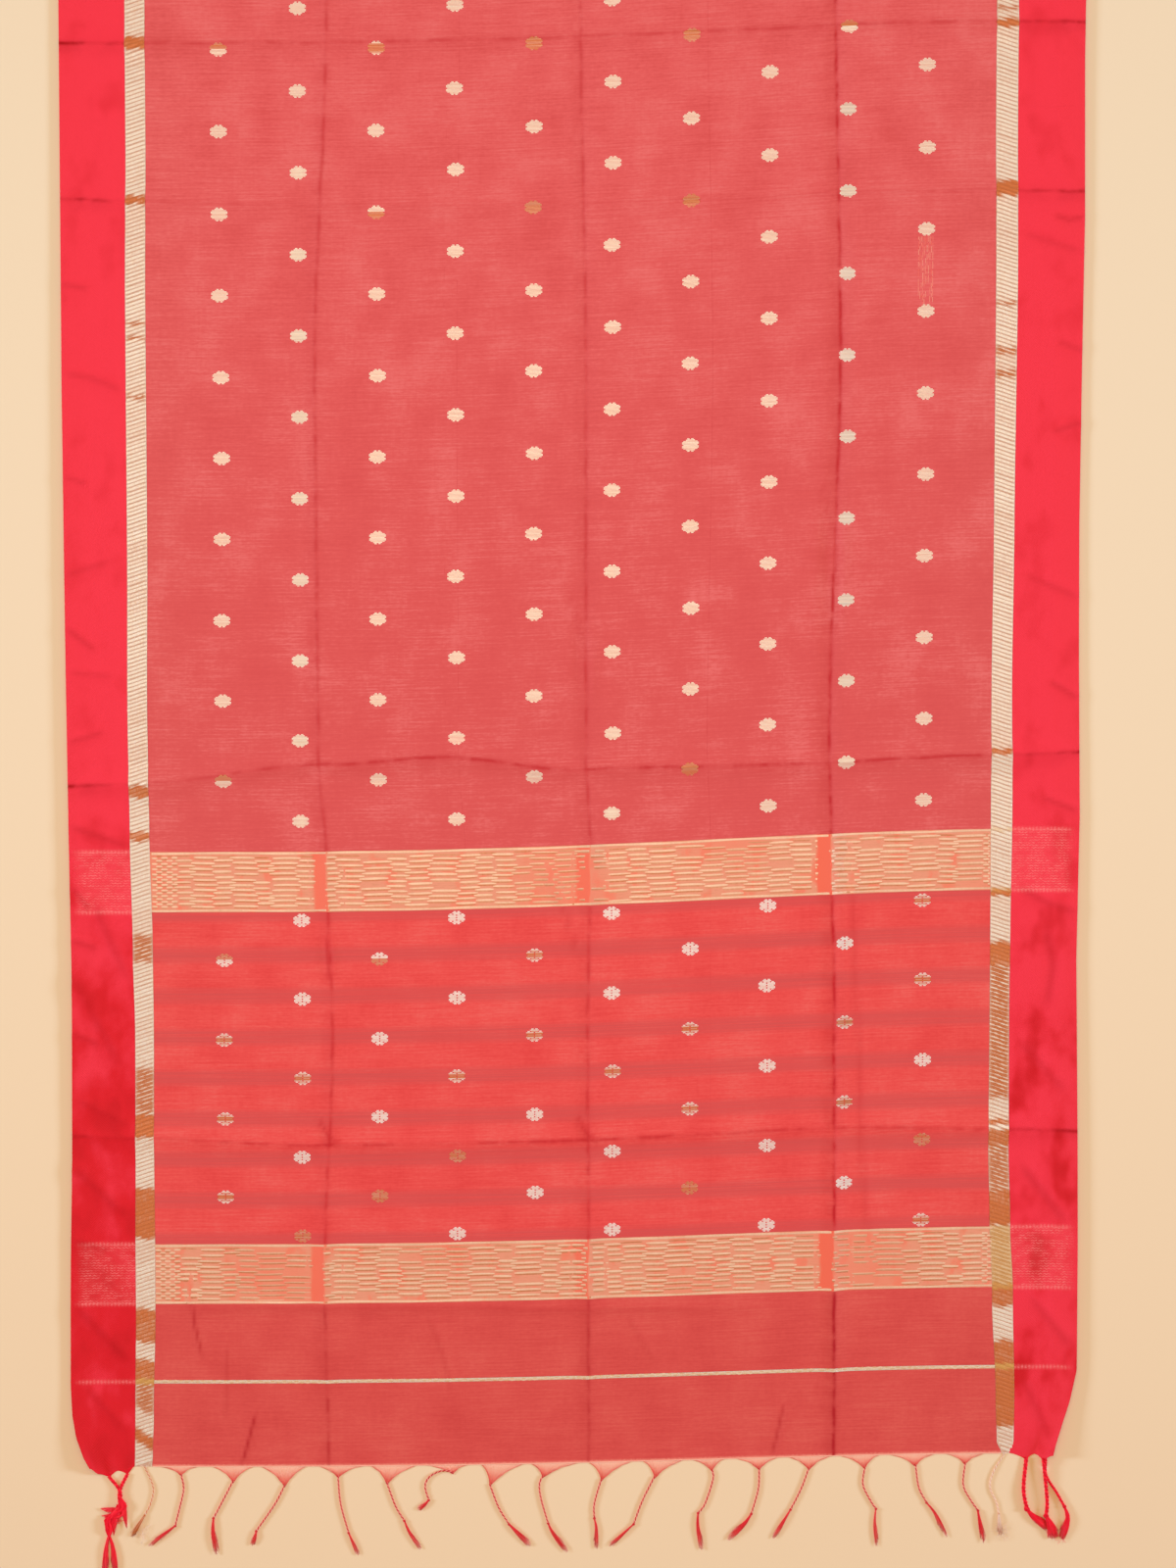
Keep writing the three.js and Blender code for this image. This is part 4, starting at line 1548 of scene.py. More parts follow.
BODY_TURNS = {
    (0, 0): Turn.UPPER, (6, 0): Turn.WHOLE, (4, 7): Turn.WHOLE, (6, 7): Turn.WHOLE, (2, 7): Turn.LOWER,
    (0, 9): Turn.UPPER, (2, 9): Turn.CENTRE, (4, 9): Turn.WHOLE, (6, 9): Turn.WHOLE, (8, 9): Turn.UPPER,
}


@dataclass
class Flowers:
    """The small woven flowers of the ground, each a chart of weft floats.

    Attributes:
        cream: Finish of the body's thread.
        silver: Finish of the end-piece's thread.
        pitch_across: Distance from column to column.
        body_chart: The body's flower, a row of the chart for each row of floats.
        pallu_chart: The end-piece's flower, whose petals stand apart.
        cell: Size of a chart cell, across and along.
    """

    cream: bpy.types.Material
    silver: bpy.types.Material
    pitch_across: float = 88.2
    columns: int = 10
    body_start: float = 740.5
    body_pitch: float = 91.04
    pallu_start: float = 266.0
    pallu_pitch: float = 90.4
    cell: tuple[float, float] = (1.47, 1.38)
    height: float = 0.3
    body_chart: tuple[str, ...] = (
        "....##.##....",
        "...#######...",
        ".###########.",
        "#############",
        "#############",
        ".###########.",
        "#############",
        "#############",
        ".###########.",
        "...#######...",
        "....##.##....",
    )
    pallu_chart: tuple[str, ...] = (
        "....##.##....",
        "...#######...",
        ".##.#####.##.",
        "######.######",
        "#############",
        ".#####.#####.",
        "#############",
        "######.######",
        ".##.#####.##.",
        "...#######...",
        "....##.##....",
    )

    def rows(self, column: int) -> tuple[list[float], list[float]]:
        """Places along of a column's flowers, in the end-piece and in the body."""
        odd = column % 2 == 0
        pallu = [self.pallu_start + self.pallu_pitch * (row + 0.5 * odd) for row in range(4 if odd else 5)]
        first = self.body_start + self.body_pitch / 2 * odd
        return pallu, list(np.arange(first, CLOTH.length - 30, self.body_pitch))

    def floats(self, chart: tuple[str, ...]) -> list[tuple[float, float, float]]:
        """The chart's floats, as (start, end, place along) from the flower's middle, top row first."""
        wide, tall = self.cell
        out = []
        for number, row in enumerate(chart):
            along = ((len(chart) - 1) / 2 - number) * tall
            for run in re.finditer("#+", row):
                start, end = ((column - len(row) / 2) * wide for column in run.span())
                out.append((start, end, along))
        return out

    @staticmethod
    def split(start: float, end: float, along: float) -> list[tuple[float, float]]:
        """Cuts a float where it crosses the crest of a lengthwise fold.

        Args:
            start: Place across of its left end.
            end: Place across of its right end.
            along: Its place along.

        Returns:
            The left and right ends of its lengths.
        """
        crests = [fold.line.spot(along) for fold in LONG_FOLDS]
        marks = [start, *(crest for crest in crests if start + 0.6 < crest < end - 0.6), end]
        return list(zip(marks[:-1], marks[1:]))

    def turned(self, turn: Turn, across: float, along: float) -> float:
        """How strong the painted copper-brown reflection on one float of a flower is, from the float's place in
        the flower.
        """
        if turn is Turn.CENTRE:
            return 0.85 * float(ease(np.array(1.5 - math.hypot(across / 1.25, along) / 4.6))) + 0.1
        inside = {Turn.NONE: False, Turn.WHOLE: True, Turn.UPPER: along > 0.5, Turn.LOWER: along < 1.0}[turn]
        return 0.85 if inside else 0.03

    def group(self, label: str, chart: tuple[str, ...], places: list) -> bpy.types.Object:
        """Makes and dresses the flowers of one stretch.

        Args:
            label: The stretch.
            chart: The flower.
            places: Each flower's middle, as its places across and along, and its turn.

        Returns:
            The piece.
        """
        draw = np.random.default_rng(len(places))
        bars, copper = [], []
        half = 0.5 * self.cell[1]
        for across, along, turn in places:
            across, along = across + draw.uniform(-0.7, 0.7), along + draw.uniform(-0.7, 0.7)
            for start, end, row in self.floats(chart):
                tint = self.turned(turn, (start + end) / 2, row) + draw.uniform(-0.05, 0.1)
                for left, right in self.split(across + start, across + end, along + row):
                    bars.append((left, along + row - half, right, along + row + half))
                    copper.append(tint)
        maker = MeshMaker("across", "along", "copper")
        add_loaves(maker, bars, self.height, copper=np.array(copper))
        finish = self.silver if chart is self.pallu_chart else self.cream
        return dress(maker.build("flowers_" + label, finish, smooth=False), Slot.ZARI)

    def build(self) -> dict[str, bpy.types.Object]:
        """Makes and dresses all the flowers, as one mesh for each stretch of the cloth.

        Returns:
            The pieces by the stretch they are on.
        """
        draw = np.random.default_rng(21)
        pallu, body, beyond = [], [], []
        for column in range(self.columns):
            across = (column - (self.columns - 1) / 2) * self.pitch_across
            pallu_rows, body_rows = self.rows(column)
            for row, along in enumerate(pallu_rows):
                pallu.append((across, along, PALLU_TURNS.get((column, row), Turn.NONE)))
            for row, along in enumerate(body_rows):
                if along < SHOWN_LENGTH:
                    body.append((across, along, BODY_TURNS.get((column, row), Turn.NONE)))
                    continue
                # Flowers beside a crosswise fold of the far stretch get a painted copper-brown reflection.
                creased = abs(float(CLOTH.cross_gap(np.array([across]), np.array([along]))[0][0])) < 12
                kind = [Turn.WHOLE, Turn.UPPER, Turn.CENTRE][draw.integers(3)] if creased else Turn.NONE
                beyond.append((across, along, kind))
        return {
            "pallu": self.group("pallu", self.pallu_chart, pallu),
            "body": self.group("body", self.body_chart, body),
            "beyond": self.group("beyond", self.body_chart, beyond),
        }


@dataclass
class LooseFloats:
    """Pale threads left loose between two flowers of the right-hand column."""

    finish: bpy.types.Material
    across: float = 396.0
    reach: Reach = Reach(1293, 1370)
    threads: int = 11
    half: float = 0.34

    def build(self) -> bpy.types.Object:
        """Makes and dresses the threads, each in short broken lengths."""
        draw = np.random.default_rng(3)
        bars = []
        for number in range(self.threads):
            place = self.across + (number - (self.threads - 1) / 2) * 1.6
            along = self.reach.end
            while along > self.reach.start:
                run = draw.uniform(3, 10)
                keep = 0.95 - 0.5 * (self.reach.end - along) / self.reach.depth
                if draw.random() < keep:
                    low = max(self.reach.start, along - run)
                    bars.append((place - self.half, low, place + self.half, along))
                along -= run + draw.uniform(0.6, 2.4)
        maker = MeshMaker("across", "along", "tone")
        add_loaves(maker, bars, 0.12, tone=draw.uniform(0.3, 0.7, len(bars)))
        return dress(maker.build("loose_floats", self.finish), Slot.ZARI)


# ---------------------------------------------------------------- the fringe


@dataclass(frozen=True)
class Tassel:
    """A tassel of the ground, its places given as (across, drop below the hem's left end).

    Attributes:
        start: Where its web starts on the hem.
        end: Where its web ends on the hem.
        apex: Where the web's threads meet.
        cord: Places that the cord passes.
        knot: Where the knot sits.
        tip: Where the brush ends.
    """

    start: float
    end: float
    apex: Place
    cord: tuple[Place, ...]
    knot: Place
    tip: Place


TASSELS = (
    Tassel(-476, -427, (-450, 11), ((-447, 26), (-452, 49)), (-457, 69), (-486, 91)),
    Tassel(-415, -365, (-390, 19), ((-407, 49),), (-413, 60), (-410, 100)),
    Tassel(-359, -305, (-331, 24), ((-342, 43),), (-364, 75), (-369, 91)),
    Tassel(-295, -238, (-270, 13), ((-267, 43),), (-258, 77), (-247, 102)),
    Tassel(-233, -179, (-214, 21), ((-204, 46),), (-194, 63), (-176, 95)),
    Tassel(-174, -118, (-138, 9), ((-151, 5), (-165, 12), (-170, 23)), (-166, 39), (-178, 50)),
    Tassel(-106, -56, (-96, 23), ((-86, 47),), (-74, 67), (-50, 91)),
    Tassel(-50, 8, (-35, 13), ((-39, 21), (-37, 38)), (-29, 66), (-8, 98)),
    Tassel(17, 68, (32, 17), ((24, 43),), (24, 60), (26, 95)),
    Tassel(79, 127, (93, 14), ((79, 40),), (69, 67), (42, 92)),
    Tassel(135, 175, (159, 6), ((160, 15), (151, 43)), (143, 54), (147, 95)),
    Tassel(184, 237, (213, 4), ((212, 26),), (204, 55), (178, 84)),
    Tassel(245, 298, (270, 4), ((261, 26),), (249, 50), (230, 82)),
    Tassel(304, 352, (334, 3), ((332, 21), (341, 40)), (347, 49), (348, 91)),
    Tassel(360, 416, (392, 0), ((396, 24),), (405, 42), (428, 80)),
    Tassel(424, 474, (449, -2), ((447, 21), (455, 38)), (464, 51), (471, 87)),
)


@dataclass(frozen=True)
class Strand:
    """A strand off a stripe or a border, its places given as on a tassel.

    Attributes:
        roots: Where its cords start on the hem.
        cord: Places that each cord passes.
        knot: Where the knot sits.
        tip: Where the brush ends.
        girth: Its thickness against that of the other strands of its kind.
        flare: The width of its brush, in the same way.
        lean: How far the brush bows to one side, as a share of its length.
    """

    roots: tuple[float, ...]
    cord: tuple[Place, ...]
    knot: Place
    tip: Place
    girth: float = 1.0
    flare: float = 1.0
    lean: float = 0.0


STRIPE_STRANDS = {
    Side.LEFT: (Strand((-492,), ((-482, 24), (-485, 43)), (-492, 57), (-507, 81)),),
    Side.RIGHT: (Strand((495,), ((484, 1), (478, 17), (479, 29), (485, 41)), (488, 55), (490, 80)),),
}
BORDER_STRANDS = {
    Side.LEFT: (Strand((-533, -511), ((-520, 28),), (-520, 45), (-532, 122)),),
    Side.RIGHT: (
        Strand((519,), ((516, 26),), (520, 49), (544, 71), 1.15, 1.05, 0.04),
        Strand((538,), ((543, 38),), (542, 57), (552, 82), 1.1, 1.5, -0.03),
        Strand((540.5,), ((542, 10), (554, 30)), (563, 46), (561, 83), 0.8, 0.85, -0.13),
    ),
}


@dataclass(frozen=True)
class CordShape:
    """How a twisted cord, its knot and its brush are made.

    Attributes:
        ply: Radius of each of the cord's two plies.
        pitch: Length of one turn of the twist.
        knot: Radius of the knot.
        hairs: Threads in the brush.
        hair: Radius of a thread.
        flare: Half-width of the brush's end.
        contrast: How far one ply is paler than the other, which paints the shade in the twist's grooves.
    """

    ply: float
    pitch: float
    knot: float
    hairs: int
    hair: float
    flare: float
    contrast: float


FINE_CORD = CordShape(ply=0.56, pitch=4.8, knot=1.6, hairs=56, hair=0.27, flare=2.7, contrast=1.15)
THICK_CORD = CordShape(ply=1.15, pitch=7.6, knot=2.7, hairs=130, hair=0.36, flare=5.0, contrast=0.5)
ZARI_CORD = CordShape(ply=0.46, pitch=5.0, knot=1.4, hairs=40, hair=0.24, flare=3.2, contrast=-0.5)


def smooth_path(points: Array, step: float) -> Array:
    """Runs a rounded curve through points.

    Args:
        points: The points, one row each.
        step: Distance from one point of the curve to the next.

    Returns:
        The curve's points.
    """
    padded = np.concatenate([[2 * points[0] - points[1]], points, [2 * points[-1] - points[-2]]])
    curve = []
    for number in range(1, len(padded) - 2):
        a, b, c, d = padded[number - 1 : number + 3]
        parts = max(2, round(float(np.linalg.norm(c - b)) / step))
        share = (np.arange(parts) / parts)[:, None]
        curve.append(
            0.5 * (2 * b + (c - a) * share + (2 * a - 5 * b + 4 * c - d) * share**2
                   + (3 * b - a - 3 * c + d) * share**3)
        )
    curve.append(points[-1][None])
    return np.concatenate(curve)


class FringeMaker:
    """Makes webs, cords, knots and brushes into one mesh."""

    floor_gap = 0.25

    def __init__(self, seed: int) -> None:
        """Starts an empty fringe with its own random draws."""
        self.maker = MeshMaker("across", "along", "tone")
        self.draw = np.random.default_rng(seed)

    def on_floor(self, place: Place, height: float) -> Array:
        """A point over the floor, from its place across and its drop below the hem's left end."""
        return np.array([place[0], CLOTH.hem_y - place[1], height])

    def root(self, across: float) -> Array:
        """A point in the edge of the cloth at the hem."""
        return CLOTH.place(np.array(across), np.array(0.2), CLOTH.under + 0.5 * CLOTH.thick)

    def tube(self, path: Array, radius: Array | float, tone: Array | float, sides: int = 4) -> None:
        """Adds a thread, kept clear of the floor."""
        lowest = self.floor_gap + np.broadcast_to(np.asarray(radius, float), (len(path),))
        path = path.copy()
        path[:, 2] = np.maximum(path[:, 2], lowest)
        add_tube(self.maker, path, radius, sides, across=path[:, 0], along=path[:, 1], tone=tone)

    def web(self, ends: Place, meet: Place, threads: int, tones: tuple[float, float]) -> None:
        """Adds the gathered threads between the hem and the point where they meet.

        Args:
            ends: Where the web starts and ends on the hem.
            meet: Where its threads meet.
            threads: How many threads it has.
            tones: Their tone at the hem and where they meet.
        """
        apex = self.on_floor(meet, 1.2)
        share = np.linspace(0, 1, 8)[:, None]
        paths, offs = [], np.linspace(-1, 1, threads)
        for off in offs:
            root = self.root(float(ends[0] + (ends[1] - ends[0]) * (off + 1) / 2))
            bow = np.array([-off * 2.6, 1.9 * abs(off), 0.0]) * np.sin(np.pi * share)
            path = root + (apex - root) * share + bow
            path[:, 2] = root[2] + (0.75 - root[2]) * share[:, 0] ** 0.8
            paths.append(path)
        fade = share[:, 0] ** 1.5
        gauze = np.stack(paths, axis=1)
        pale = tones[0] * (1 - 0.45 * np.abs(offs) ** 6) + (tones[1] - tones[0]) * fade[:, None]
        self.maker.shell(gauze, 0.3, True, across=gauze[..., 0], along=gauze[..., 1], tone=pale)
        for off, path in zip(offs, paths):
            outer = abs(off) > 0.96
            waver = self.draw.normal(0, 0.35, (8, 3)) * np.sin(np.pi * share) * (1, 1, 0)
            radius = 0.27 if outer else 0.14 + 0.1 * self.draw.random()
            tone = tones[0] * (0.5 if outer else 0.72 + 0.36 * self.draw.random())
            tone = tone + (tones[1] - tone) * fade
            self.tube(path + waver + (0, 0, 0.1), radius * np.linspace(1, 1.15, 8), tone, 3)

    def cord(self, path: Array, shape: CordShape, tone: float) -> None:
        """Adds two plies twisted round each other along a path."""
        curve = smooth_path(path, shape.pitch / 8)
        forward = np.gradient(curve, axis=0)
        forward /= np.linalg.norm(forward, axis=1, keepdims=True)
        beside = np.cross(forward, (0.0, 0.0, 1.0))
        beside /= np.linalg.norm(beside, axis=1, keepdims=True)
        above = np.cross(beside, forward)
        run = np.concatenate([[0], np.cumsum(np.linalg.norm(np.diff(curve, axis=0), axis=1))])
        for number, start in enumerate((0.0, math.pi)):
            angle = (2 * math.pi * run / shape.pitch + start)[:, None]
            ply = curve + 0.9 * shape.ply * (np.cos(angle) * beside + np.sin(angle) * above)
            self.tube(ply, shape.ply, tone + shape.contrast * number, sides=6)

    def knot(self, place: Place, shape: CordShape, tone: float) -> None:
        """Adds a small overhand knot, as three tight turns."""
        centre = self.on_floor(place, self.floor_gap + 1.5 * shape.ply + 0.6)
        turn = np.linspace(0, 6 * math.pi, 40)
        size = shape.knot * (0.62 + 0.1 * np.sin(turn * 0.7))
        path = centre + np.stack(
            [size * np.cos(turn), size * np.sin(turn) * 0.8, 0.7 * shape.ply * np.sin(turn * 1.5)], axis=-1
        )
        self.tube(path, shape.ply * 0.95, tone, sides=5)

    def brush(self, start: Place, tip: Place, shape: CordShape, tone: float, lean: float = 0.0) -> None:
        """Adds the flared threads below a knot, round a soft core.

        Args:
            start: Where the brush starts.
            tip: Where its longest threads end.
            shape: Its threads.
            tone: Their tone.
            lean: How far its middle bows to one side, as a share of its length.
        """
        low, high = self.on_floor(start, self.floor_gap + 1.2), self.on_floor(tip, self.floor_gap + 0.5)
        run = high - low
        length = float(np.linalg.norm(run))
        beside = np.array([run[1], -run[0], 0.0]) / length
        share = np.linspace(0, 1, 8)[:, None]
        spine = low + run * share * 0.86 + beside * lean * length * np.sin(np.pi * share)
        swell = shape.flare * np.array([0.22, 0.3, 0.4, 0.5, 0.56, 0.56, 0.4, 0.06])
        spine[:, 2] = self.floor_gap + 0.6 * swell
        self.flat_tube(spine, swell, 0.6, tone + 0.06)
        for _ in range(shape.hairs):
            spread = self.draw.uniform(-1, 1)
            reach = self.draw.uniform(0.74, 1.06) - 0.12 * spread**2
            share = np.linspace(0, 1, 6)[:, None]
            flare = spread * shape.flare * (0.22 + 0.78 * share**1.1) * 0.95
            flare = flare + self.draw.normal(0, 0.35) * share
            bow = lean * length * np.sin(np.pi * share)
            path = low + run * share * reach + beside * (flare + bow)
            swelling = 0.3 + 0.7 * np.sin(np.pi * np.minimum(0.9, 0.15 + 0.75 * share[:, 0]))
            crown = 0.62 * shape.flare * swelling * math.sqrt(max(0.0, 1 - spread**2))
            path[:, 2] = self.floor_gap + 0.4 + crown + abs(self.draw.normal(0, 0.25))
            radius = shape.hair * np.linspace(1.15, 0.7, 6)
            fuzz = 0.5 * share[:, 0] ** 4
            self.tube(path, radius, tone + self.draw.uniform(-0.1, 0.24) + fuzz, sides=3)

    def flat_tube(self, path: Array, radius: Array, flatness: float, tone: float) -> None:
        """Adds a tube whose section is flattened towards the floor."""
        count = len(self.maker.points)
        add_tube(self.maker, path, radius, 8, across=path[:, 0], along=path[:, 1], tone=tone)
        points = self.maker.points[count]
        middle = np.repeat(path[:, 2], 8)
        points[:, 2] = np.maximum(self.floor_gap, middle + (points[:, 2] - middle) * flatness)

    def tuft(self, start: Place, tip: Place, hairs: int, width: float, tone: float) -> None:
        """Adds a ragged tuft that narrows to its tip."""
        low, high = self.on_floor(start, 2.4), self.on_floor(tip, 1.2)
        beside = np.array([high[1] - low[1], low[0] - high[0], 0.0]) / float(np.linalg.norm(high - low))
        for _ in range(hairs):
            spread = self.draw.uniform(-1, 1)
            share = np.linspace(0, 1, 6)[:, None]
            reach = self.draw.uniform(0.55, 1.08)
            path = low + (high - low) * share * reach
            stray = self.draw.normal(0, 0.5) * np.sin(3 * share)
            path = path + beside * (spread * width * (1 - 0.8 * share) + stray)
            path[:, 2] += 0.8 * math.sqrt(max(0.0, 1 - spread**2)) + 0.3 * self.draw.random()
            self.tube(path, 0.42 * np.linspace(1.2, 0.5, 6), tone + self.draw.uniform(-0.1, 0.2), sides=3)

    def frizz(self, place: Place, count: int, size: float, radius: float, tone: float) -> None:
        """Adds stray curled fibres round a place."""
        centre = self.on_floor(place, 1.0)
        for _ in range(count):
            heading = self.draw.uniform(0, 2 * math.pi)
            bend = self.draw.uniform(-2.4, 2.4)
            reach = size * self.draw.uniform(0.5, 1.0)
            share = np.linspace(0, 1, 7)
            angle = heading + bend * share
            step = reach / 6
            east, north = np.cumsum(np.cos(angle)) * step, np.cumsum(np.sin(angle)) * step
            path = centre + np.stack([east, north, 1.2 * np.sin(np.pi * share)], axis=-1)
            path[:, :2] += self.draw.normal(0, 0.12 * size, 2)
            self.tube(path, radius, tone + self.draw.uniform(-0.15, 0.15), sides=3)

    def strand(self, strand: Strand, shape: CordShape, tone: float, gathered: float) -> None:
        """Adds a strand: the gathered threads at its roots, its cords and its knot.

        Args:
            strand: Its places.
            shape: Its cord.
            tone: Its tone.
            gathered: Half the width of cloth whose threads run into each cord.
        """
        height = self.floor_gap + 1.9 * shape.ply
        left = float(CLOTH.selvedge(Side.LEFT, np.array(0.0))) + 0.6
        right = float(CLOTH.selvedge(Side.RIGHT, np.array(0.0))) - 0.6
        for across in strand.roots:
            root = self.root(across)
            drop = CLOTH.hem_y - float(root[1])
            neck = (across + 0.25 * (strand.cord[0][0] - across), drop + 0.22 * (strand.cord[0][1] - drop))
            self.web((max(left, across - gathered), min(right, across + gathered)), neck, 12, (0.0, tone))
            places = [self.on_floor(place, height) for place in (*strand.cord, strand.knot)]
            self.cord(np.array([self.root(across), *places]), shape, tone)
        self.knot(strand.knot, shape, tone)


@dataclass
class GroundFringe:
    """The tassels along the hem of the ground."""

    finish: bpy.types.Material

    def build(self) -> bpy.types.Object:
        """Makes and dresses the tassels."""
        fringe = FringeMaker(seed=41)
        height = fringe.floor_gap + 1.9 * FINE_CORD.ply
        for number, tassel in enumerate(TASSELS):
            fringe.web((tassel.start, tassel.end), tassel.apex, 15, (1.0, 0.05))
            start = fringe.on_floor(tassel.apex, height) + (0, 2.5, 0)
            places = [fringe.on_floor(place, height) for place in (*tassel.cord, tassel.knot)]
            fringe.cord(np.array([start, *places]), FINE_CORD, -0.65)
            fringe.knot(tassel.knot, FINE_CORD, -0.45)
            shape = replace(FINE_CORD, flare=FINE_CORD.flare * (1 + 0.25 * math.sin(1.3 * number)))
            fringe.brush(tassel.knot, tassel.tip, shape, -0.12, 0.05 * math.sin(2.1 * number))
        hem = CLOTH.place(np.linspace(-482, 489.5, 240), np.array(-0.1), CLOTH.top - 0.3)
        fringe.tube(hem, 0.55, 0.95, 6)
        return dress(fringe.maker.build("fringe_ground_threads", self.finish), Slot.FRINGE, "fringe_ground")


@dataclass
class SideFringe:
    """The strands off one stripe and one border."""

    side: Side
    zari: bpy.types.Material
    crimson: bpy.types.Material

    def ragged_knot(self, satin: FringeMaker) -> None:
        """Adds the large frayed knot of the left corner, and the double brush below it."""
        height = satin.floor_gap + 3.0
        body = ((-519, 36), (-516, 46), (-523, 54), (-531, 61), (-532, 72), (-533, 82))
        for number in range(11):
            level = height + 0.4 * (number % 3)
            places = []
            for x, drop in body[1:-1]:
                x = x + satin.draw.normal(0, 2.4)
                places.append(satin.on_floor((x, drop + satin.draw.normal(0, 1.8)), level))
            ends = [satin.on_floor(body[0], height), satin.on_floor(body[-1], height - 1.5)]
            curve = smooth_path(np.array([ends[0], *places, ends[1]]), 2.0)
            satin.tube(curve, 1.5 * np.linspace(1.0, 0.6, len(curve)), 0.06 * number - 0.45, sides=6)
        for start, tip, hairs, width, tone in (
            ((-521, 52), (-541, 49), 40, 4.6, 0.16), ((-520, 56), (-540, 57), 36, 4.2, 0.1),
            ((-517, 42), (-513, 70), 46, 4.0, 0.05), ((-527, 60), (-527, 79), 40, 4.4, 0.06),
            ((-533, 58), (-536, 74), 36, 4.0, 0.1), ((-518, 46), (-528, 66), 60, 6.0, 0.0),
            ((-524, 50), (-533, 68), 60, 6.0, 0.04),
        ):
            satin.tuft(start, tip, hairs, width, tone)
        satin.frizz((-526, 60), 34, 9.0, 0.24, 0.2)
        slim = replace(THICK_CORD, flare=3.6, hairs=90)
        satin.brush((-533, 79), (-538, 124), slim, 0.0, 0.03)
        satin.brush((-533, 79), (-525.5, 123), slim, -0.05, -0.04)

    def build(self) -> tuple[bpy.types.Object, bpy.types.Object]:
        """Makes and dresses the strands.

        Returns:
            The stripe's strands and the border's.
        """
        metallic = FringeMaker(seed=51 + self.side.value)
        tone, brush = (0.95, 0.8) if self.side is Side.LEFT else (0.6, 0.2)
        for strand in STRIPE_STRANDS[self.side]:
            metallic.strand(strand, ZARI_CORD, tone, 5.0)
            metallic.brush(strand.knot, strand.tip, ZARI_CORD, brush)
            middle = (strand.knot[0] + strand.tip[0]) / 2, (strand.knot[1] + strand.tip[1]) / 2
            metallic.frizz((middle[0] + 4, middle[1] + 8), 26, 13.0, 0.11, 0.2)
        label = self.side.label
        thin = metallic.maker.build(f"fringe_zari_{label}_threads", self.zari)
        dress(thin, Slot.ZARI, f"fringe_zari_{label}")
        satin = FringeMaker(seed=61 + self.side.value)
        for strand in BORDER_STRANDS[self.side]:
            shape = replace(
                THICK_CORD, ply=THICK_CORD.ply * strand.girth, knot=THICK_CORD.knot * strand.girth,
                pitch=THICK_CORD.pitch * strand.girth, flare=THICK_CORD.flare * strand.flare,
            )
            satin.strand(strand, shape, -0.45, 8.0 * strand.girth)
            if self.side is Side.RIGHT:
                satin.brush(strand.knot, strand.tip, shape, -0.1, strand.lean)
                satin.frizz(strand.tip, 8, 7.0, 0.16, 0.15)
        if self.side is Side.LEFT:
            self.ragged_knot(satin)
        thick = satin.maker.build(f"fringe_border_{label}_threads", self.crimson)
        return thin, dress(thick, Slot.BORDER, f"fringe_border_{label}")


# ---------------------------------------------------------------- floor, light and camera


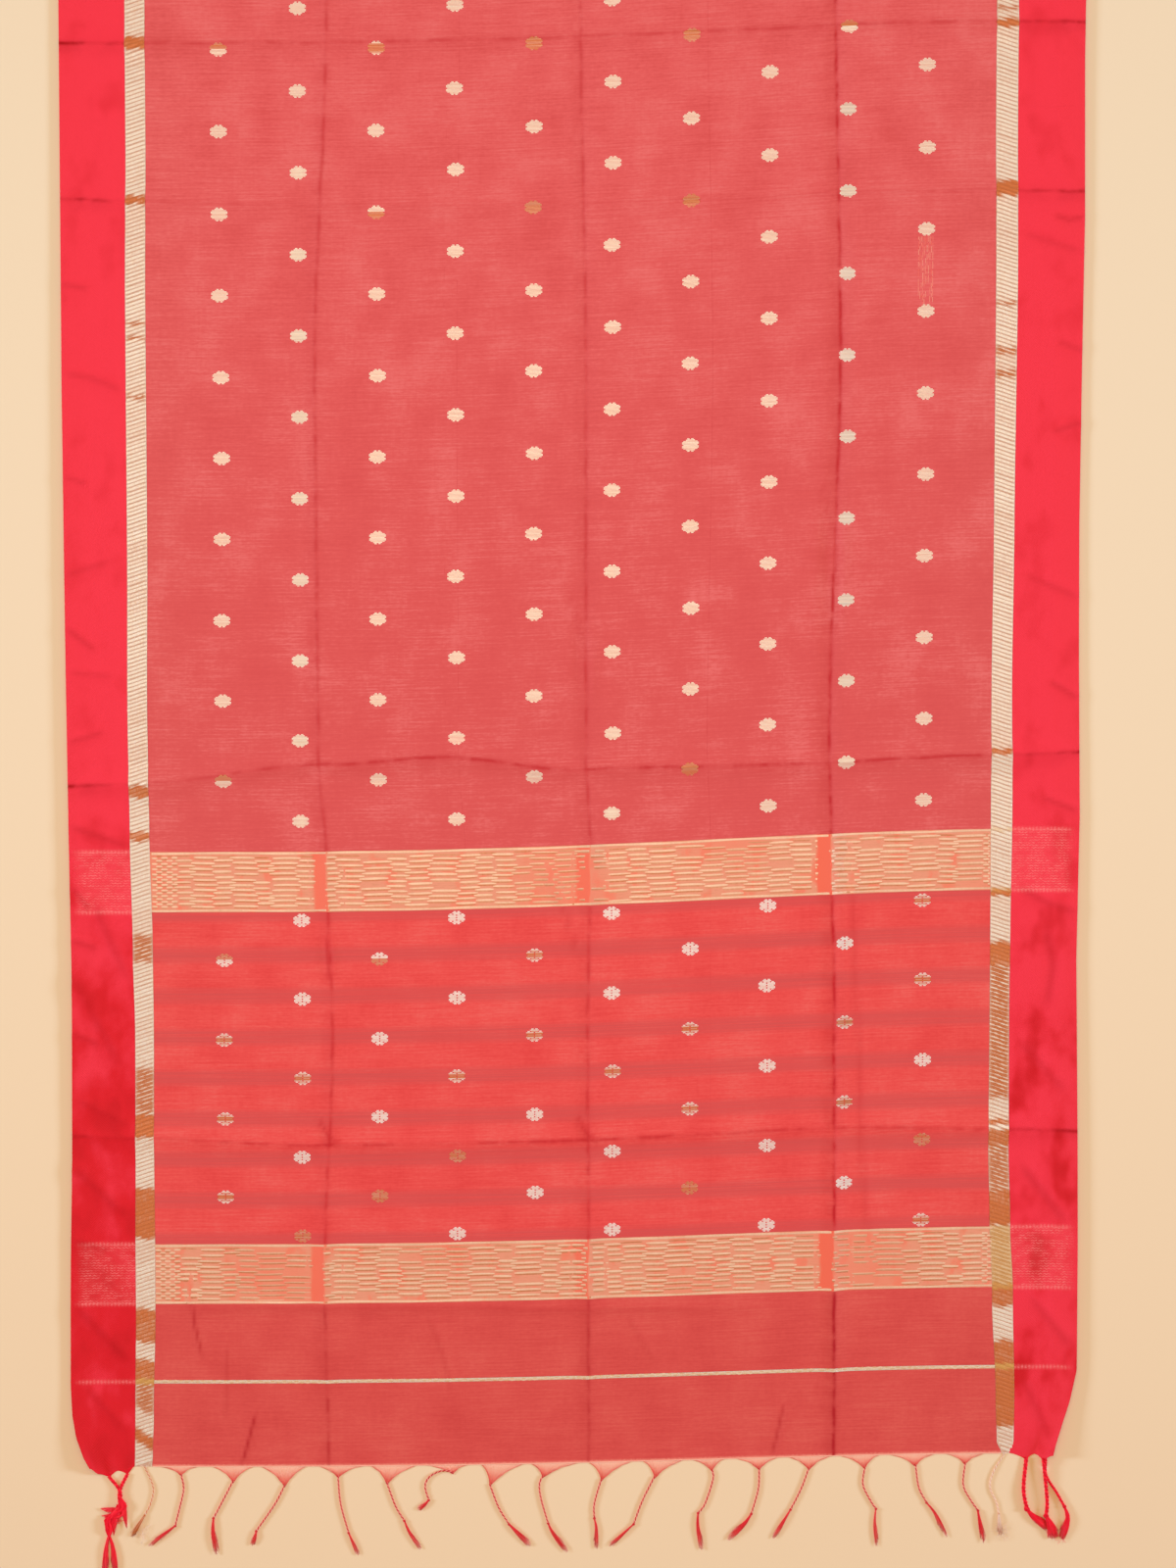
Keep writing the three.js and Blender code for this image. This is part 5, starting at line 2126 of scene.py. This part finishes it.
@dataclass
class Studio:
    """The pale floor, the soft light and the camera.

    Attributes:
        distance: Camera to the point it looks at.
        tilt: Degrees that the view leans towards the fringe.
        aim: The point it looks at, as (across, along) with no weft climb.
        focal: Focal length in pixels of the taller side.
        frame: Size of the image in pixels.
    """

    distance: float = 3000.0
    tilt: float = 2.563
    aim: tuple[float, float] = (16.7, 783.1)
    focal: float = 2700.7
    frame: tuple[int, int] = (1200, 1600)
    floor_size: float = 24000.0
    sensor: float = 36.0
    surround: Colour = (1.0, 0.79, 0.52)
    surround_strength: float = 0.473
    sky: Colour = (0.42, 0.67, 1.0)

    def floor(self, finish: bpy.types.Material) -> None:
        """Lays the floor."""
        half = self.floor_size / 2
        maker = MeshMaker()
        corners = [[-half, -half, 0], [half, -half, 0], [half, half, 0], [-half, half, 0]]
        maker.add(np.array(corners), [[0, 1, 2, 3]])
        floor = maker.build("floor", finish, smooth=False)

    def camera(self) -> None:
        """Places the camera."""
        lens = bpy.data.cameras.new("camera")
        lens.sensor_width = self.sensor
        lens.lens = self.focal / self.frame[1] * self.sensor
        lens.clip_end = 100.0
        camera = bpy.data.objects.new("camera", lens)
        lean = math.radians(self.tilt)
        x, y = self.aim[0], CLOTH.hem_y + self.aim[1]
        back = Vector((0, math.sin(lean), math.cos(lean))) * self.distance
        camera.location = (Vector((x, y, 0)) + back) * MM
        camera.rotation_euler = (-lean, 0, 0)
        bpy.context.scene.collection.objects.link(camera)
        bpy.context.scene.camera = camera

    def lamp(
        self, name: str, place: tuple[float, float, float], size: float, power: float, colour: Colour,
        spread: float = 180.0,
    ) -> None:
        """Hangs a square soft lamp that faces the shown stretch.

        Args:
            name: The lamp's name.
            place: Where it hangs, from the point the camera looks at.
            size: Its side.
            power: Its power in watts.
            colour: Its colour.
            spread: Degrees that its light opens to.
        """
        light = bpy.data.lights.new(name, "AREA")
        light.shape = "SQUARE"
        light.size = size * MM
        light.energy = power
        light.color = colour
        light.spread = math.radians(spread)
        lamp = bpy.data.objects.new(name, light)
        target = Vector((self.aim[0], CLOTH.hem_y + self.aim[1], 0))
        spot = target + Vector(place)
        lamp.location = spot * MM
        lamp.rotation_euler = (target - spot).to_track_quat("-Z", "Y").to_euler()
        bpy.context.scene.collection.objects.link(lamp)

    def light(self) -> None:
        """Hangs the lamps and sets the plain surround."""
        world = bpy.data.worlds.new("surround")
        world.use_nodes = True
        backdrop = world.node_tree.nodes["Background"]
        backdrop.inputs["Color"].default_value = (*self.surround, 1.0)
        backdrop.inputs["Strength"].default_value = self.surround_strength
        bpy.context.scene.world = world
        self.lamp("key", (-200, 500, 3000), 1500, 27.5, (1.0, 0.85, 0.57))
        self.lamp("far", (0, 3600, 3000), 2000, 12.0, (1.0, 0.84, 0.6))
        self.lamp("side_left", (-8500, 800, 2950), 1500, 102.0, self.sky, 70.0)
        self.lamp("side_right", (8500, 600, 2950), 1500, 112.0, self.sky, 70.0)

    def build(self, finish: bpy.types.Material) -> None:
        """Sets the stage."""
        self.floor(finish)
        self.camera()
        self.light()
        bpy.context.scene.view_settings.view_transform = "Standard"


# ---------------------------------------------------------------- the saree

# Stretches of each stripe with a painted copper-brown reflection: start, end and strength.
LEFT_TURNS = (
    (24.6, 39.3, 1.0), (64, 96, 0.5), (96, 123, 1.0), (143.7, 182.2, 1.0), (263.5, 321, 1.0),
    (380.7, 406.5, 1.0), (408.8, 459.3, 0.5), (580, 612, 0.5), (718.6, 728.6, 1.0), (767.6, 781, 1.0),
    (1217, 1221, 0.6),
    (1283, 1287, 0.6), (1299, 1303, 0.6), (1434.6, 1443.4, 1.0), (1606.4, 1619.4, 1.0),
)
RIGHT_TURNS = (
    (31, 127.6, 1.0), (166.6, 192.2, 1.0), (192.2, 256.7, 0.3), (259, 298, 1.0), (298, 347.6, 0.5),
    (347.6, 366.5, 1.0), (374, 379, 1.0), (402.5, 552.7, 0.55), (552.7, 578.4, 1.0), (631.3, 638, 1.0),
    (790, 796, 1.0), (1212, 1220, 0.6), (1237, 1245, 0.6), (1292, 1296, 0.6), (1413.4, 1429.7, 1.0),
    (1599.6, 1608.3, 1.0), (1619, 1623, 0.6),
)
LEFT_GILT = ((95.5, 101.5, 0.8),)
RIGHT_GILT = ((95.5, 101.5, 0.8), (186, 258, 0.62), (635, 640, 0.4), (703, 707, 0.4))


def hidden_turns(seed: int) -> Stretches:
    """Stretches of thread with a painted copper-brown reflection on the far stretch, at its folds and between
    them.
    """
    draw = np.random.default_rng(seed)
    turns = []
    for along in HIDDEN_CROSS_FOLDS:
        turns.append((along - draw.uniform(4, 9), along + draw.uniform(4, 9), 1.0))
        start = along + draw.uniform(60, 260)
        turns.append((start, start + draw.uniform(4, 22), float(draw.choice([0.5, 0.6, 1.0]))))
    return tuple(turns)


def main() -> None:
    """Builds every part of the saree in order and reports each piece."""
    logging.basicConfig(level=logging.INFO, format="%(name)s: %(message)s", stream=sys.stdout)
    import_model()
    LOG.info("hem at y = %.2f mm", CLOTH.hem_y)

    ground = GroundWeave(
        "ground_weave", rgb(227, 91, 89), rgb(233, 108, 104), rgb(217, 79, 77), WornLines(rgb(198, 46, 48)),
        low=rgb(221, 84, 81),
    ).make()
    pallu = GroundWeave(
        "pallu_weave", rgb(236, 80, 75), rgb(240, 97, 89), rgb(229, 66, 63), WornLines(rgb(200, 34, 38)),
        low=rgb(237, 78, 73), stripe=rgb(215, 78, 75),
    ).make()
    panel = GroundWeave(
        "panel_weave", rgb(221, 78, 71), rgb(230, 96, 84), rgb(209, 65, 61), WornLines(rgb(184, 32, 36)),
        low=rgb(221, 78, 71), contrast=0.7, hem=rgb(244, 150, 126),
    ).make()
    satin = SatinTwill(
        "border_satin", rgb(248, 50, 68), rgb(226, 20, 34), rgb(206, 12, 24), rgb(255, 128, 124),
        WornLines(rgb(178, 10, 20)),
    ).make()
    copper, gold = rgb(212, 112, 56), rgb(224, 168, 88)
    zari = ZariThread("zari_thread", rgb(245, 221, 198), copper, gold).make()
    silver = ZariThread("silver_thread", rgb(247, 227, 216), copper, gold).make()
    straw = ZariThread("straw_thread", rgb(249, 199, 165), rgb(206, 118, 74), gold).make()
    band = BandWeave(
        "band_weave", rgb(236, 146, 114), rgb(244, 124, 94), rgb(212, 134, 94), rgb(247, 104, 76)
    ).make()
    yarn = Yarn("fringe_yarn", rgb(242, 48, 54), rgb(255, 190, 162), rgb(178, 40, 50)).make()
    crimson = Yarn("crimson_yarn", rgb(255, 30, 50), rgb(255, 112, 112), rgb(196, 14, 34)).make()
    frizz = Yarn("zari_yarn", rgb(255, 226, 202), rgb(216, 112, 48), rgb(214, 160, 120), roughness=0.6).make()
    paper = Paper("pale_paper", rgb(245, 208, 169), rgb(241, 213, 180)).make()

    Studio().build(paper)
    flowers = Flowers(zari, silver).build()
    body_flowers = [flowers["body"], flowers["beyond"], LooseFloats(yarn).build()]
    body = Reach(UPPER_BAND.end, CLOTH.length + CLOTH.seam / 2)
    GroundStretch("body_ground", body, Slot.GROUND, ground, 14, 10).build(body_flowers)
    pallu_reach = Reach(LOWER_BAND.end, UPPER_BAND.start)
    GroundStretch("pallu_ground", pallu_reach, Slot.PALLU, pallu, 6, 5).build([flowers["pallu"]])
    above_line = Reach(GOLD_LINE.end, LOWER_BAND.start)
    GroundStretch("panel_above_line", above_line, Slot.PANEL, panel, 3.4, 3).build(GoldLine(zari).build())
    at_hem = Reach(-CLOTH.seam / 2, GOLD_LINE.start)
    GroundStretch("panel_at_hem", at_hem, Slot.PANEL, panel, 3.4, 3).build([GroundFringe(yarn).build()])
    CrossBand("upper_band", UPPER_BAND, band, straw, seed=71).build()
    CrossBand("lower_band", LOWER_BAND, band, straw, seed=72).build()
    for side, turns, gilt, slant in (
        (Side.LEFT, LEFT_TURNS, LEFT_GILT, 20.0), (Side.RIGHT, RIGHT_TURNS, RIGHT_GILT, 0.0),
    ):
        thin, thick = SideFringe(side, frizz, crimson).build()
        ZariStripe(side, zari, turns + hidden_turns(31 + side.value), gilt, slant=slant).build(thin)
        Border(side, satin).build(thick)


if __name__ == "__main__":
    main()
